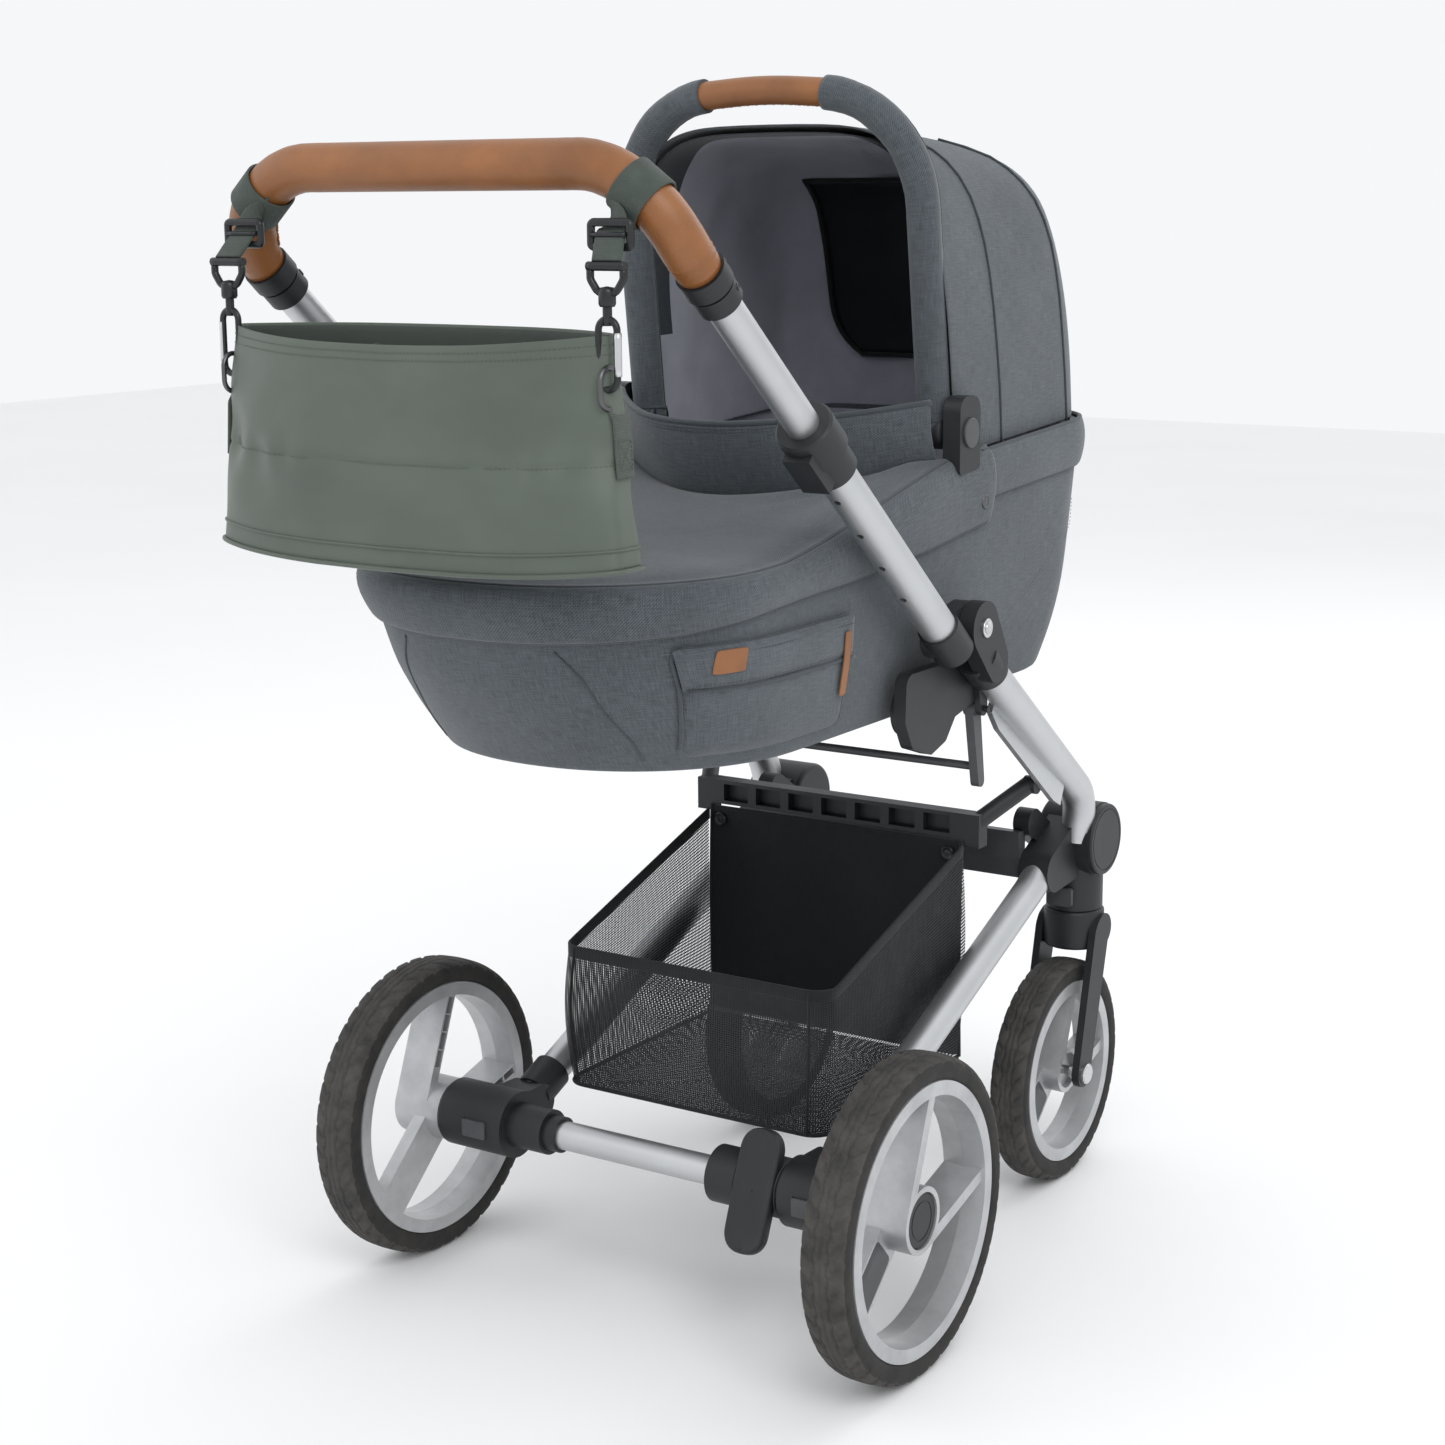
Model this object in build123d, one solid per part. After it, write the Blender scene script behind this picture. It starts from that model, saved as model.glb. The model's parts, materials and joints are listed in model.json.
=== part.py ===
from build123d import *
from math import asin, cos, degrees, radians, sin, tan
import os

# Baby stroller: a folding pushchair chassis with a carrycot, its hood, a mesh basket
# and an organiser bag hung from the handlebar.
# Millimetres. +Z up, +Y the way it is pushed, +X the right-hand side.
# Everything is laid out from the rear axle (y = 0 on the ground), and write() moves it
# so that the origin is on the ground under the middle of the whole.

# ---- driving dimensions -------------------------------------------------------------
REAR_TYRE_R = 148.0
REAR_TYRE_W = 46.0
REAR_SEAT_R = 127.0          # radius where the rear tyre meets its rim
REAR_TRACK = 544.0           # between the middles of the rear tyres
FRONT_TYRE_R = 119.0
FRONT_TYRE_W = 40.0
FRONT_SEAT_R = 98.0
FRONT_TRACK = 354.0
WHEELBASE = 500.0            # rear axle to front axle, casters trailing
CASTER_TRAIL = 40.0          # front axle behind its swivel axis
RUN_GAP = 0.06               # radial running clearance of a pin in its bore
SOFT_GAP = 0.4               # between a soft part and a part of another body

TUBE_X = 221.0               # side plane of the handle tubes
HANDLE_SLOPE = 40.6          # handle tubes above the horizontal, degrees
OUTER_TUBE_R = 17.0
INNER_TUBE_R = 14.5
TUBE_GAP = 0.1               # sliding clearance of the telescope
HINGE_DROP = 34.0            # handle tube axis below the fold pivot
ARM_START = 38.0             # handle tube's first point from the hinge foot
OUTER_TUBE_END = 352.0
INNER_TUBE_START = 305.0     # at the highest handle position
COLLAR_FROM = 540.0
GRIP_FROM = 577.0
ADJUST_PITCH = 50.0          # between handle height holes
GRIP_R = 19.5

HUB_R = 39.0                 # big round front joints
HUB_Z = 367.0
HUB_HALF = 29.0
LEG_R = 16.0
LEG_X = 176.0
LEG_TOP = (474.0, 358.0)     # y, z
LEG_BEND = (436.0, 333.0)
LEG_FOOT = (40.0, 160.0)
LOWER_TUBE_R = 17.0
AXLE_TUBE_R = 14.0
AXLE_HOUSING_R = 33.0
AXLE_PIN_R = 6.0

COT_HALF_W = 190.0
COT_FOOT_Y = -326.0
COT_HEAD_Y = 520.0
COT_FLOOR_Z = 560.0
COT_WALL = 9.0
HOOD_HALF_W = 181.0
HOOD_TOP_Z = 1096.0
BOW_R = 15.5
BOW_HALF_W = 162.0
HOOD_PIVOT = (245.0, 819.0)  # y, z
BOW_TOP = (207.0, 1133.0)    # y, z of the bow's middle

BAG_HALF_W = 172.0
BAG_TOP_Z = 937.0
BAG_HEIGHT = 187.0
BAG_DEPTH = 112.0
BAG_REAR_Y = -329.0
STRAP_X = 190.0
SWING_Y = -315.0             # bag's swing pins
SWING_Z = 966.0

# ---- derived places -----------------------------------------------------------------
REAR_X = REAR_TRACK / 2
FRONT_X = FRONT_TRACK / 2
SWIVEL_Y = WHEELBASE + CASTER_TRAIL
HINGE_Y = 200.0
HINGE_Z = 606.0
ALONG = Vector(0, -cos(radians(HANDLE_SLOPE)), sin(radians(HANDLE_SLOPE)))
ACROSS = Vector(0, sin(radians(HANDLE_SLOPE)), cos(radians(HANDLE_SLOPE)))
HINGE_FOOT = Vector(TUBE_X, HINGE_Y, HINGE_Z)
PIVOT = HINGE_FOOT + ALONG * 19.0 + ACROSS * HINGE_DROP
MIDDLE_Y = (BAG_REAR_Y + WHEELBASE + FRONT_TYRE_R) / 2

NODES = {}


# ---- helpers ------------------------------------------------------------------------
def box(x0, x1, y0, y1, z0, z1):
    centre = Pos((x0 + x1) / 2, (y0 + y1) / 2, (z0 + z1) / 2)
    return centre * Box(x1 - x0, y1 - y0, z1 - z0)


def bar(start, end, radius):
    start = Vector(*start)
    run = Vector(*end) - start
    plane = Plane(origin=start, z_dir=run)
    return Part() + Solid.make_cylinder(radius, run.length, plane)


def disc(radius, x0, x1, y, z):
    return bar((x0, y, z), (x1, y, z), radius)


def post(radius, x, y, z0, z1):
    return bar((x, y, z0), (x, y, z1), radius)


def ring(outer, inner, x0, x1, y, z):
    return disc(outer, x0, x1, y, z) - disc(inner, x0 - 1, x1 + 1, y, z)


def sleeve(start, end, outer, inner):
    return bar(start, end, outer) - bar(start, end, inner)


def slab_x(sketch, x0, x1):
    """A sketch drawn in (y, z), as thick as x0 to x1."""
    return extrude(Plane.YZ.offset(x0) * sketch, amount=x1 - x0)


def polygon(points, *fillets):
    """A closed outline; fillets are (point number, radius)."""
    outline = make_face(Polyline(*points, close=True))
    for number, radius in fillets:
        corner = outline.vertices().sort_by_distance(points[number])[0]
        outline = fillet(corner, radius)
    return outline


def link(c0, r0, c1, r1, x0, x1):
    """A flat link round two circles given in (y, z)."""
    first = Pos(*c0) * Circle(r0)
    second = Pos(*c1) * Circle(r1)
    return slab_x(make_hull(first.edges() + second.edges()), x0, x1)


def swept(points, radii, radius):
    path = FilletPolyline(*points, radius=radii)
    return sweep(Plane(origin=path @ 0, z_dir=path % 0) * Circle(radius), path=path)


def swept_sleeve(points, radii, outer, inner):
    path = FilletPolyline(*points, radius=radii)
    section = Plane(origin=path @ 0, z_dir=path % 0) * (Circle(outer) - Circle(inner))
    return sweep(section, path=path)


def flip(shape):
    return mirror(shape, about=Plane.YZ)


def node(name, *shapes):
    solids = []
    for shape in shapes:
        solids.extend(shape.solids())
    NODES[name] = solids


def on_both_sides(name, shape):
    node(name, shape, flip(shape))


def left_and_right(name, shape):
    node(name + "_right", shape)
    node(name + "_left", flip(shape))


def write():
    os.makedirs("parts", exist_ok=True)
    place = Location((0, -MIDDLE_Y, 0))
    for name, solids in NODES.items():
        whole = Compound(solids).moved(place)
        export_step(whole, f"parts/{name}.step")


def tube_point(distance, x=TUBE_X):
    point = HINGE_FOOT + ALONG * distance
    return Vector(x, point.Y, point.Z)


# ---- wheels -------------------------------------------------------------------------
def tyre(radius, seat, width):
    half = width / 2
    points = [(-half * 0.9, seat), (-half, seat + 5), (-half, radius - 7), (-half * 0.55, radius),
              (half * 0.55, radius), (half, radius - 7), (half, seat + 5), (half * 0.9, seat)]
    profile = polygon(points, (2, 5), (3, 8), (4, 8), (5, 5))
    return revolve(profile, Axis.X)


def spoke(angle, offset, length, width, x0, x1):
    sketch = Rot(0, 0, angle) * Pos(length / 2, offset) * Rectangle(length, width)
    return slab_x(sketch, x0, x1)


def channel(angle, offset, start, end, width, x0, x1, count):
    """Pockets along a spoke, open to the inner side and parted by thin ribs."""
    rib = 2.0
    pitch = (end - start) / count
    cuts = Part()
    for number in range(count):
        middle = start + pitch * (number + 0.5)
        sketch = Rot(0, 0, angle) * Pos(middle, offset) * Rectangle(pitch - rib, width)
        cuts += slab_x(sketch, x0, x1)
    return cuts


def rim(seat, width, hub_r, hub_reach, bore_r, bore_depth):
    """A rim whose outer side faces +X: two blades round the hub, and a wide plate behind."""
    half = width / 2 - 1.5
    ring_inner = seat - 15
    lip = seat - 1.0
    profile = polygon([(-half, ring_inner + 1), (-half, lip), (-half + 4, seat), (half - 4, seat),
                       (half, lip), (half, ring_inner + 1), (0, ring_inner - 2)])
    wheel = revolve(profile, Axis.X)
    blade = 11.0
    offset = hub_r - blade / 2
    reach = ring_inner + 4
    blade_outer = half - 3
    wheel += disc(hub_r, -half - hub_reach, blade_outer, 0, 0)
    for angle, side in ((69, 1), (16, -1)):
        wheel += spoke(angle, offset * side, reach, blade, -half + 1, blade_outer)
    wheel += spoke(222, 0, reach, 40, -half + 1, -half + 15)
    for angle, side in ((69, 1), (16, -1)):
        wheel -= channel(angle, offset * side, hub_r + 6, ring_inner - 3, blade - 4,
                         -half, half - 12, 4)
    recess = hub_r - 5
    wheel -= disc(recess, blade_outer - 6, blade_outer + 1, 0, 0)
    wheel -= disc(bore_r, -half - hub_reach - 1, -half - hub_reach + bore_depth, 0, 0)
    return wheel


def hub_cap(seat_x, radius):
    cap = disc(radius, seat_x, seat_x + 4.5, 0, 0)
    cap = fillet(cap.edges().group_by(Axis.X)[-1], 1.5)
    groove = ring(radius * 0.72, radius * 0.66, seat_x + 4.0, seat_x + 5, 0, 0)
    return cap - groove


REAR_HUB_REACH = 14.0
FRONT_HUB_REACH = 1.0


def rear_wheels():
    place = Pos(REAR_X, 0, REAR_TYRE_R)
    hub_r = 31.0
    left_and_right("rear_tyre", place * tyre(REAR_TYRE_R, REAR_SEAT_R, REAR_TYRE_W))
    depth = 44.0
    wheel = rim(REAR_SEAT_R, REAR_TYRE_W, hub_r, REAR_HUB_REACH, AXLE_PIN_R + RUN_GAP, depth)
    left_and_right("rear_rim", place * wheel)
    seat_x = REAR_TYRE_W / 2 - 1.5 - 3 - 6
    left_and_right("rear_hub_cap", place * hub_cap(seat_x, hub_r - 5.5))


def front_wheels():
    place = Pos(FRONT_X, WHEELBASE, FRONT_TYRE_R)
    hub_r = 24.0
    left_and_right("front_tyre", place * tyre(FRONT_TYRE_R, FRONT_SEAT_R, FRONT_TYRE_W))
    wheel = rim(FRONT_SEAT_R, FRONT_TYRE_W, hub_r, FRONT_HUB_REACH, 5 + RUN_GAP, 90)
    left_and_right("front_rim", place * wheel)


# ---- casters ------------------------------------------------------------------------
CROWN_TOP = 290.0
CROWN_BOTTOM = 248.0
SOCKET_BOTTOM = CROWN_TOP + 0.8
SWIVEL_PIN_R = 8.0
FORK_GAP = FRONT_TYRE_W / 2 + 7     # fork leg's inner face from the wheel's middle
FORK_LEG = 8.0


def casters():
    x = FRONT_X
    crown = post(32, x, SWIVEL_Y, CROWN_BOTTOM, CROWN_TOP)
    crown = fillet(crown.edges(), 4)
    fork = crown + post(SWIVEL_PIN_R, x, SWIVEL_Y, CROWN_TOP - 5, CROWN_TOP + 32)
    for side in (-1, 1):
        inner = x + side * FORK_GAP
        outer = x + side * (FORK_GAP + FORK_LEG)
        fork += link((SWIVEL_Y - 4, CROWN_BOTTOM + 15), 17, (WHEELBASE, FRONT_TYRE_R), 15,
                     min(inner, outer), max(inner, outer))
        shoulder = link((SWIVEL_Y - 2, CROWN_BOTTOM + 18), 17, (SWIVEL_Y + 2, CROWN_BOTTOM + 20), 17,
                        min(x, outer), max(x, outer))
        fork += shoulder
    fork -= disc(5, x - 60, x + 60, WHEELBASE, FRONT_TYRE_R)
    left_and_right("caster_fork", fork)
    end = FORK_GAP + FORK_LEG
    axle = disc(5, x - end - 1, x + end + 1, WHEELBASE, FRONT_TYRE_R)
    for side in (-1, 1):
        face = x + side * end
        far = x + side * (end + 5)
        head = disc(11, min(face, far), max(face, far), WHEELBASE, FRONT_TYRE_R)
        axle += chamfer(head.edges().group_by(Axis.X)[-1 if side > 0 else 0], 1.5)
        gap = x + side * (FORK_GAP - 0.3)
        boss = x + side * (FRONT_TYRE_W / 2 - 0.2)
        axle += disc(8, min(gap, boss), max(gap, boss), WHEELBASE, FRONT_TYRE_R)
    left_and_right("front_axle", axle)


def caster_sockets():
    x = FRONT_X
    socket = post(30, x, SWIVEL_Y, SOCKET_BOTTOM, HUB_Z - 10)
    socket -= disc(HUB_R, x - 60, x + 60, SWIVEL_Y, HUB_Z)
    socket -= post(SWIVEL_PIN_R + RUN_GAP, x, SWIVEL_Y, SOCKET_BOTTOM - 1, CROWN_TOP + 33)
    slot = box(x - 5, x + 5, SWIVEL_Y - 32, SWIVEL_Y - 18, SOCKET_BOTTOM + 5, SOCKET_BOTTOM + 24)
    on_both_sides("caster_sockets", socket - slot)
    stem = box(x - 4.8, x + 4.8, SWIVEL_Y - 34, SWIVEL_Y - 19, SOCKET_BOTTOM + 12,
               SOCKET_BOTTOM + 23.8)
    tab = box(x - 14, x + 14, SWIVEL_Y - 38, SWIVEL_Y - 33, SOCKET_BOTTOM + 7, SOCKET_BOTTOM + 27)
    tab = fillet(tab.edges().filter_by(Axis.Y), 3)
    left_and_right("swivel_lock", tab + stem)


# ---- front joints, legs and rear axle -----------------------------------------------
def lower_tube_points():
    return [(219, 225, 614), (196, 511, 419), (190, SWIVEL_Y - 27, HUB_Z + 4)]


def leg_solid(radius=LEG_R):
    points = [(LEG_X, *LEG_TOP), (LEG_X, *LEG_BEND), (LEG_X, *LEG_FOOT)]
    return swept(points, 90, radius)


def front_joints():
    x0 = FRONT_X - HUB_HALF
    x1 = FRONT_X + HUB_HALF
    housing = disc(HUB_R, x0, x1, SWIVEL_Y, HUB_Z)
    housing = fillet(housing.edges().group_by(Axis.X)[0], 5)
    tube = swept(lower_tube_points(), 55, LOWER_TUBE_R)
    on_both_sides("hub_housings", housing - tube)
    cap = disc(HUB_R - 1, x1, x1 + 7, SWIVEL_Y, HUB_Z)
    cap = fillet(cap.edges().group_by(Axis.X)[-1], 2.5)
    cap -= ring(HUB_R - 6, HUB_R - 7.2, x1 + 6.3, x1 + 8, SWIVEL_Y, HUB_Z)
    on_both_sides("hub_caps", cap - tube)
    leg = leg_solid()
    on_both_sides("leg_tubes", leg)
    bracket = link((SWIVEL_Y, HUB_Z), 36, (462, 347), 22, LEG_X - 17, LEG_X + 17)
    bracket -= disc(HUB_R, x0 - 9, x1 + 9, SWIVEL_Y, HUB_Z)
    cheek = link((LEG_TOP[0] - 10, HUB_Z + 28), 15, (SWIVEL_Y - 40, HUB_Z + 6), 13, x0, LEG_X - 10)
    cheek -= disc(HUB_R, x0 - 9, x1 + 9, SWIVEL_Y, HUB_Z)
    bracket = bracket + cheek - leg - tube - post(30, FRONT_X, SWIVEL_Y, SOCKET_BOTTOM, HUB_Z)
    on_both_sides("leg_brackets", bracket.solids().sort_by(SortBy.VOLUME)[-1])
    beam = polygon([(446, HUB_Z - 28), (456, HUB_Z - 30), (456, HUB_Z + 21), (440, HUB_Z + 22)],
                   (1, 4), (2, 4))
    half = LEG_X - 17
    node("front_crossbar", slab_x(beam, -half, half) - cheek - flip(cheek))


def rear_axle():
    z = REAR_TYRE_R
    hub_face = REAR_X - REAR_TYRE_W / 2 + 1.5 - REAR_HUB_REACH
    inner = 158.0
    housing = disc(AXLE_HOUSING_R, inner, hub_face - 0.8, 0, z)
    housing = fillet(housing.edges().group_by(Axis.X)[-1], 3)
    elbow = link((38, 158), 19, (0, z), 30, LEG_X - 18, LEG_X + 18)
    collar = bar((LEG_X, 46, 162.7), (LEG_X, 78, 176.9), 19.5)
    elbow = housing + elbow + collar + disc(22, 118, inner + 1, 0, z) + disc(17.5, 104, 119, 0, z)
    elbow -= leg_solid()
    pocket = box(hub_face - 62, hub_face - 34, -AXLE_HOUSING_R - 1, -AXLE_HOUSING_R + 12, z - 9, z + 9)
    elbow -= disc(AXLE_TUBE_R, 60, inner - 4, 0, z)
    elbow -= disc(AXLE_PIN_R, hub_face - 70, hub_face + 20, 0, z)
    elbow = elbow.solids().sort_by(SortBy.VOLUME)[-1]
    right = elbow - pocket - box(60, 158, -60, 60, z - 60, z + 60)
    node("rear_elbows", right.solids().sort_by(SortBy.VOLUME)[-1], flip(elbow - pocket))
    node("rear_axle_tube", disc(AXLE_TUBE_R, -inner + 4, inner - 4, 0, z))
    pin = disc(AXLE_PIN_R, hub_face - 40, hub_face + 30, 0, z)
    on_both_sides("axle_pins", pin)
    button = box(hub_face - 61.7, hub_face - 34.3, -AXLE_HOUSING_R - 2, -AXLE_HOUSING_R + 7,
                 z - 8.7, z + 8.7)
    button = fillet(button.edges().filter_by(Axis.Y), 2)
    left_and_right("wheel_release", button)


def brake():
    z = REAR_TYRE_R
    housing = disc(27, 76, 157.9, 0, z)
    groove = disc(30, 107, 153.5, 0, z) - disc(23, 107, 153.5, 0, z)
    housing -= groove
    housing -= disc(AXLE_TUBE_R, 60, 154, 0, z)
    node("brake_housing", housing)
    boss = disc(28, 107.4, 153.1, 0, z) - disc(23 + RUN_GAP, 107, 154, 0, z)
    lean = 22.0
    pad = Pos(130.2, -25, z + 2) * Rot(-lean, 0, 0) * Box(44, 13, 116)
    pad = fillet(pad.edges().sort_by(Axis.Z)[:1] + pad.edges().sort_by(Axis.Z)[-1:], 5)
    pad -= disc(23 + RUN_GAP, 100, 160, 0, z)
    node("brake_pedal", boss + pad)


# ---- lower frame tubes and fold hinges ----------------------------------------------
def lower_frame():
    points = lower_tube_points()
    tube = swept(points, 55, LOWER_TUBE_R)
    on_both_sides("lower_tubes", tube + channel_fin(tube))


def channel_fin(tube):
    fin = polygon([(292, 562), (452, 452), (440, 424), (424, 432), (300, 528), (284, 548)],
                  (3, 6), (4, 10))
    return slab_x(fin, 200, 206) - tube


def hinges():
    pivot = (PIVOT.Y, PIVOT.Z)
    start = Vector(219, 225, 614)
    run = (Vector(196, 511, 419) - start).normalized()
    collar = bar(start - run * 2, start + run * 34, 20.5)
    lower_end = start + run * 10
    plate = link(pivot, 25, (lower_end.Y, lower_end.Z), 20, TUBE_X + 1, TUBE_X + 17)
    base = collar + plate
    base -= swept(lower_tube_points(), 55, LOWER_TUBE_R)
    base -= disc(6, 190, 250, *pivot)
    base = base.solids().sort_by(SortBy.VOLUME)[-1]
    on_both_sides("hinge_bases", base)
    pin = disc(6, TUBE_X - 17, TUBE_X + 17.5, *pivot)
    head = disc(9, TUBE_X + 17, TUBE_X + 19.5, *pivot)
    head = fillet(head.edges().group_by(Axis.X)[-1], 1)
    head -= box(TUBE_X + 18.3, TUBE_X + 20, PIVOT.Y - 6, PIVOT.Y + 6, PIVOT.Z - 1, PIVOT.Z + 1)
    on_both_sides("hinge_pins", pin + head)


# ---- handle -------------------------------------------------------------------------
def handle_base():
    start = tube_point(ARM_START)
    tube = sleeve(start, tube_point(OUTER_TUBE_END), OUTER_TUBE_R, INNER_TUBE_R + TUBE_GAP)
    for number in range(4):
        place = tube_point(INNER_TUBE_START - 12 - number * ADJUST_PITCH)
        hole = bar(place - ACROSS * 30, place, 3.2)
        tube -= hole
    on_both_sides("outer_tubes", tube)
    pivot = (PIVOT.Y, PIVOT.Z)
    arm = link(pivot, 24, (tube_point(52).Y, tube_point(52).Z), 19, TUBE_X - 16.5, TUBE_X + 0.7)
    arm += bar(tube_point(ARM_START - 6), tube_point(72), 19.5)
    arm -= bar(start, tube_point(OUTER_TUBE_END), OUTER_TUBE_R)
    arm -= disc(6 + RUN_GAP, 190, 250, *pivot)
    base_plate = disc(25.6, TUBE_X + 0.7, TUBE_X + 30, *pivot)
    arm -= base_plate
    on_both_sides("hinge_arms", arm.solids().sort_by(SortBy.VOLUME)[-1])
    low = OUTER_TUBE_END - 34
    head = bar(tube_point(low + 26), tube_point(low + 62), 25.5)
    head = chamfer(head.edges(), 2)
    clamp = bar(tube_point(low), tube_point(low + 30), 22) + head
    wedge = Plane(origin=tube_point(low + 30) - ACROSS * 20, z_dir=ALONG, x_dir=(1, 0, 0))
    clamp += wedge * Box(26, 20, 44)
    clamp -= bar(tube_point(low - 5), tube_point(OUTER_TUBE_END), OUTER_TUBE_R)
    clamp -= bar(tube_point(low - 5), tube_point(low + 90), INNER_TUBE_R + TUBE_GAP)
    on_both_sides("height_clamps", clamp)


def handle_points(first):
    """The handle's route from a distance up the right tube to the same on the left."""
    right = [tuple(tube_point(first)), tuple(tube_point(592)), (208, -267, 1025), (163, -274, 1061)]
    left = [(-x, y, z) for x, y, z in reversed(right)]
    return right + left


HANDLE_RADII = [50, 60, 80, 80, 60, 50]


def handle():
    node("handle_bar", swept_sleeve(handle_points(INNER_TUBE_START), HANDLE_RADII,
                                    INNER_TUBE_R, INNER_TUBE_R - 2))
    node("handle_grip", swept_sleeve(handle_points(GRIP_FROM), HANDLE_RADII, GRIP_R, INNER_TUBE_R + 0.05))
    collar = bar(tube_point(COLLAR_FROM), tube_point(COLLAR_FROM + 17), 19)
    collar += bar(tube_point(COLLAR_FROM + 16), tube_point(COLLAR_FROM + 21), 17.5)
    collar += bar(tube_point(COLLAR_FROM + 20), tube_point(GRIP_FROM - 0.02), 20.5)
    collar -= bar(tube_point(COLLAR_FROM - 10), tube_point(GRIP_FROM + 10), INNER_TUBE_R + 0.02)
    on_both_sides("grip_collars", collar)


def bag_straps():
    """A webbing loop round each end of the grip, a slider, and a swivel with a cross pin."""
    middle = Vector(190, -271.0, 1040.0)
    tangent = Vector(45, 7, -36).normalized()
    loop = bar(middle - tangent * 14, middle + tangent * 14, GRIP_R + 4)
    grip = swept(handle_points(GRIP_FROM), HANDLE_RADII, GRIP_R + 0.02)
    tail = polygon([(-296, 1050), (-293, 1050), (-310.5, 990), (-319.5, 990), (-296, 1040)])
    strap = loop + slab_x(polygon([(-297, 1046), (-292, 1046), (-312, 986), (-317, 986)]),
                          STRAP_X - 14, STRAP_X + 14)
    strap -= grip
    strap = strap.solids().sort_by(SortBy.VOLUME)[-1]
    slider = box(STRAP_X - 17, STRAP_X + 17, -318, -305, 1004, 1012)
    strap += fillet(slider.edges().filter_by(Axis.X), 2)
    strap += box(STRAP_X - 14, STRAP_X + 14, SWING_Y - 5, SWING_Y + 5, 977, 988)
    for side in (-1, 1):
        inner = STRAP_X + side * 7.5
        outer = STRAP_X + side * 11.5
        strap += box(min(inner, outer), max(inner, outer), SWING_Y - 4, SWING_Y + 4, 961, 978)
    strap += disc(2.5, STRAP_X - 9, STRAP_X + 9, SWING_Y, SWING_Z)
    on_both_sides("bag_straps", strap)


# ---- organiser bag ------------------------------------------------------------------
def bag_volume(inset, floor, top):
    plan = []
    for z, half_w, depth in ((floor, BAG_HALF_W + 28, BAG_DEPTH - 6), (top, BAG_HALF_W, BAG_DEPTH)):
        middle_y = BAG_REAR_Y + BAG_DEPTH / 2
        outline = RectangleRounded(2 * (half_w - inset), depth - 2 * inset, 26 - inset)
        plan.append(Plane.XY.offset(z) * Pos(0, middle_y) * outline)
    return loft(plan)


def stadium_ring(plane, length, width, bar_size, thickness):
    outer = SlotOverall(length, width) - SlotOverall(length - 2 * bar_size, width - 2 * bar_size)
    return extrude(plane * outer, amount=thickness / 2, both=True)


def bag():
    wall = 3.0
    floor = BAG_TOP_Z - BAG_HEIGHT
    outer = bag_volume(0, floor, BAG_TOP_Z)
    shell = outer - bag_volume(wall, floor + wall, BAG_TOP_Z + 0.1)
    hook_x = STRAP_X
    ring_plane = Plane(origin=(hook_x, SWING_Y, 897), x_dir=(0, 0, 1), z_dir=(1, 0, 0))
    d_ring = stadium_ring(ring_plane, 34, 24, 4, 4)
    tab = box(hook_x - 13, hook_x + 3, SWING_Y - 11, SWING_Y + 11, 846, 886)
    tab = fillet(tab.edges().filter_by(Axis.X), 3)
    for side in (-1, 1):
        piece = tab if side > 0 else flip(tab)
        hole = d_ring if side > 0 else flip(d_ring)
        shell += (piece - outer - hole).solids().sort_by(SortBy.VOLUME)[-1]
    node("bag", shell)
    hook_plane = Plane(origin=(hook_x, SWING_Y, 922), x_dir=(0, 0, 1), z_dir=(0, 1, 0))
    hook = stadium_ring(hook_plane, 56, 21, 4.5, 5)
    hook += box(hook_x - 4, hook_x + 4, SWING_Y - 3, SWING_Y + 3, 944, SWING_Z)
    hook += disc(6.5, hook_x - 7, hook_x + 7, SWING_Y, SWING_Z)
    hook -= disc(2.5 + RUN_GAP, hook_x - 20, hook_x + 20, SWING_Y, SWING_Z)
    node("bag_hooks", hook, flip(hook), d_ring, flip(d_ring))


# ---- basket -------------------------------------------------------------------------
BASKET_FLOOR = 166.0
BASKET_REAR_Y = 62.0
BASKET_FRONT_Y = 332.0
BASKET_HALF_W = 150.0


def basket_volume(inset):
    low = Pos(0, (BASKET_REAR_Y + BASKET_FRONT_Y) / 2) * RectangleRounded(
        2 * (BASKET_HALF_W - 3 - inset), BASKET_FRONT_Y - BASKET_REAR_Y - 2 * inset, 24 - inset)
    high = Pos(0, (BASKET_REAR_Y + BASKET_FRONT_Y) / 2) * RectangleRounded(
        2 * (BASKET_HALF_W + 4 - inset), BASKET_FRONT_Y - BASKET_REAR_Y - 2 * inset, 24 - inset)
    floor = BASKET_FLOOR + inset
    return loft([Plane.XY.offset(floor) * low, Plane.XY.offset(400) * high])


def basket():
    tub = basket_volume(0) - basket_volume(3)
    above = polygon([(0, 316), (BASKET_REAR_Y + 26, 316), (BASKET_FRONT_Y - 10, 398), (400, 398), (400, 500), (0, 500)])
    tub -= slab_x(above, -250, 250)
    node("basket_mesh", tub)
    panel = box(-BASKET_HALF_W + 1, BASKET_HALF_W - 1, BASKET_FRONT_Y + 0.5, BASKET_FRONT_Y + 4.5,
                BASKET_FLOOR + 10, 403)
    node("basket_panel", panel)
    beam = box(-BASKET_HALF_W, BASKET_HALF_W, 334, 352, 404, 430)
    for number in range(7):
        centre = -120 + number * 40
        beam -= box(centre - 15, centre + 15, 333, 345, 408, 426)
    arms = Part()
    for side in (-1, 1):
        post_bar = box(min(side * 150, side * 168), max(side * 150, side * 168), 334, 352, 396, 430)
        arm = bar((side * 160, 343, 420), (side * 190, 400, 452), 9)
        end = disc(9, min(side * 186, side * 199.6), max(side * 186, side * 199.6), 400, 452)
        arms += post_bar + arm + end
    node("basket_frame", beam + arms)


# ---- cot ----------------------------------------------------------------------------
RIM_LINE = [(-420, 727), (-90, 727), (90, 758), (240, 794), (560, 815)]   # y, z of the rim


def rim_line(offset):
    return [(y, z + offset) for y, z in RIM_LINE]


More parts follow.
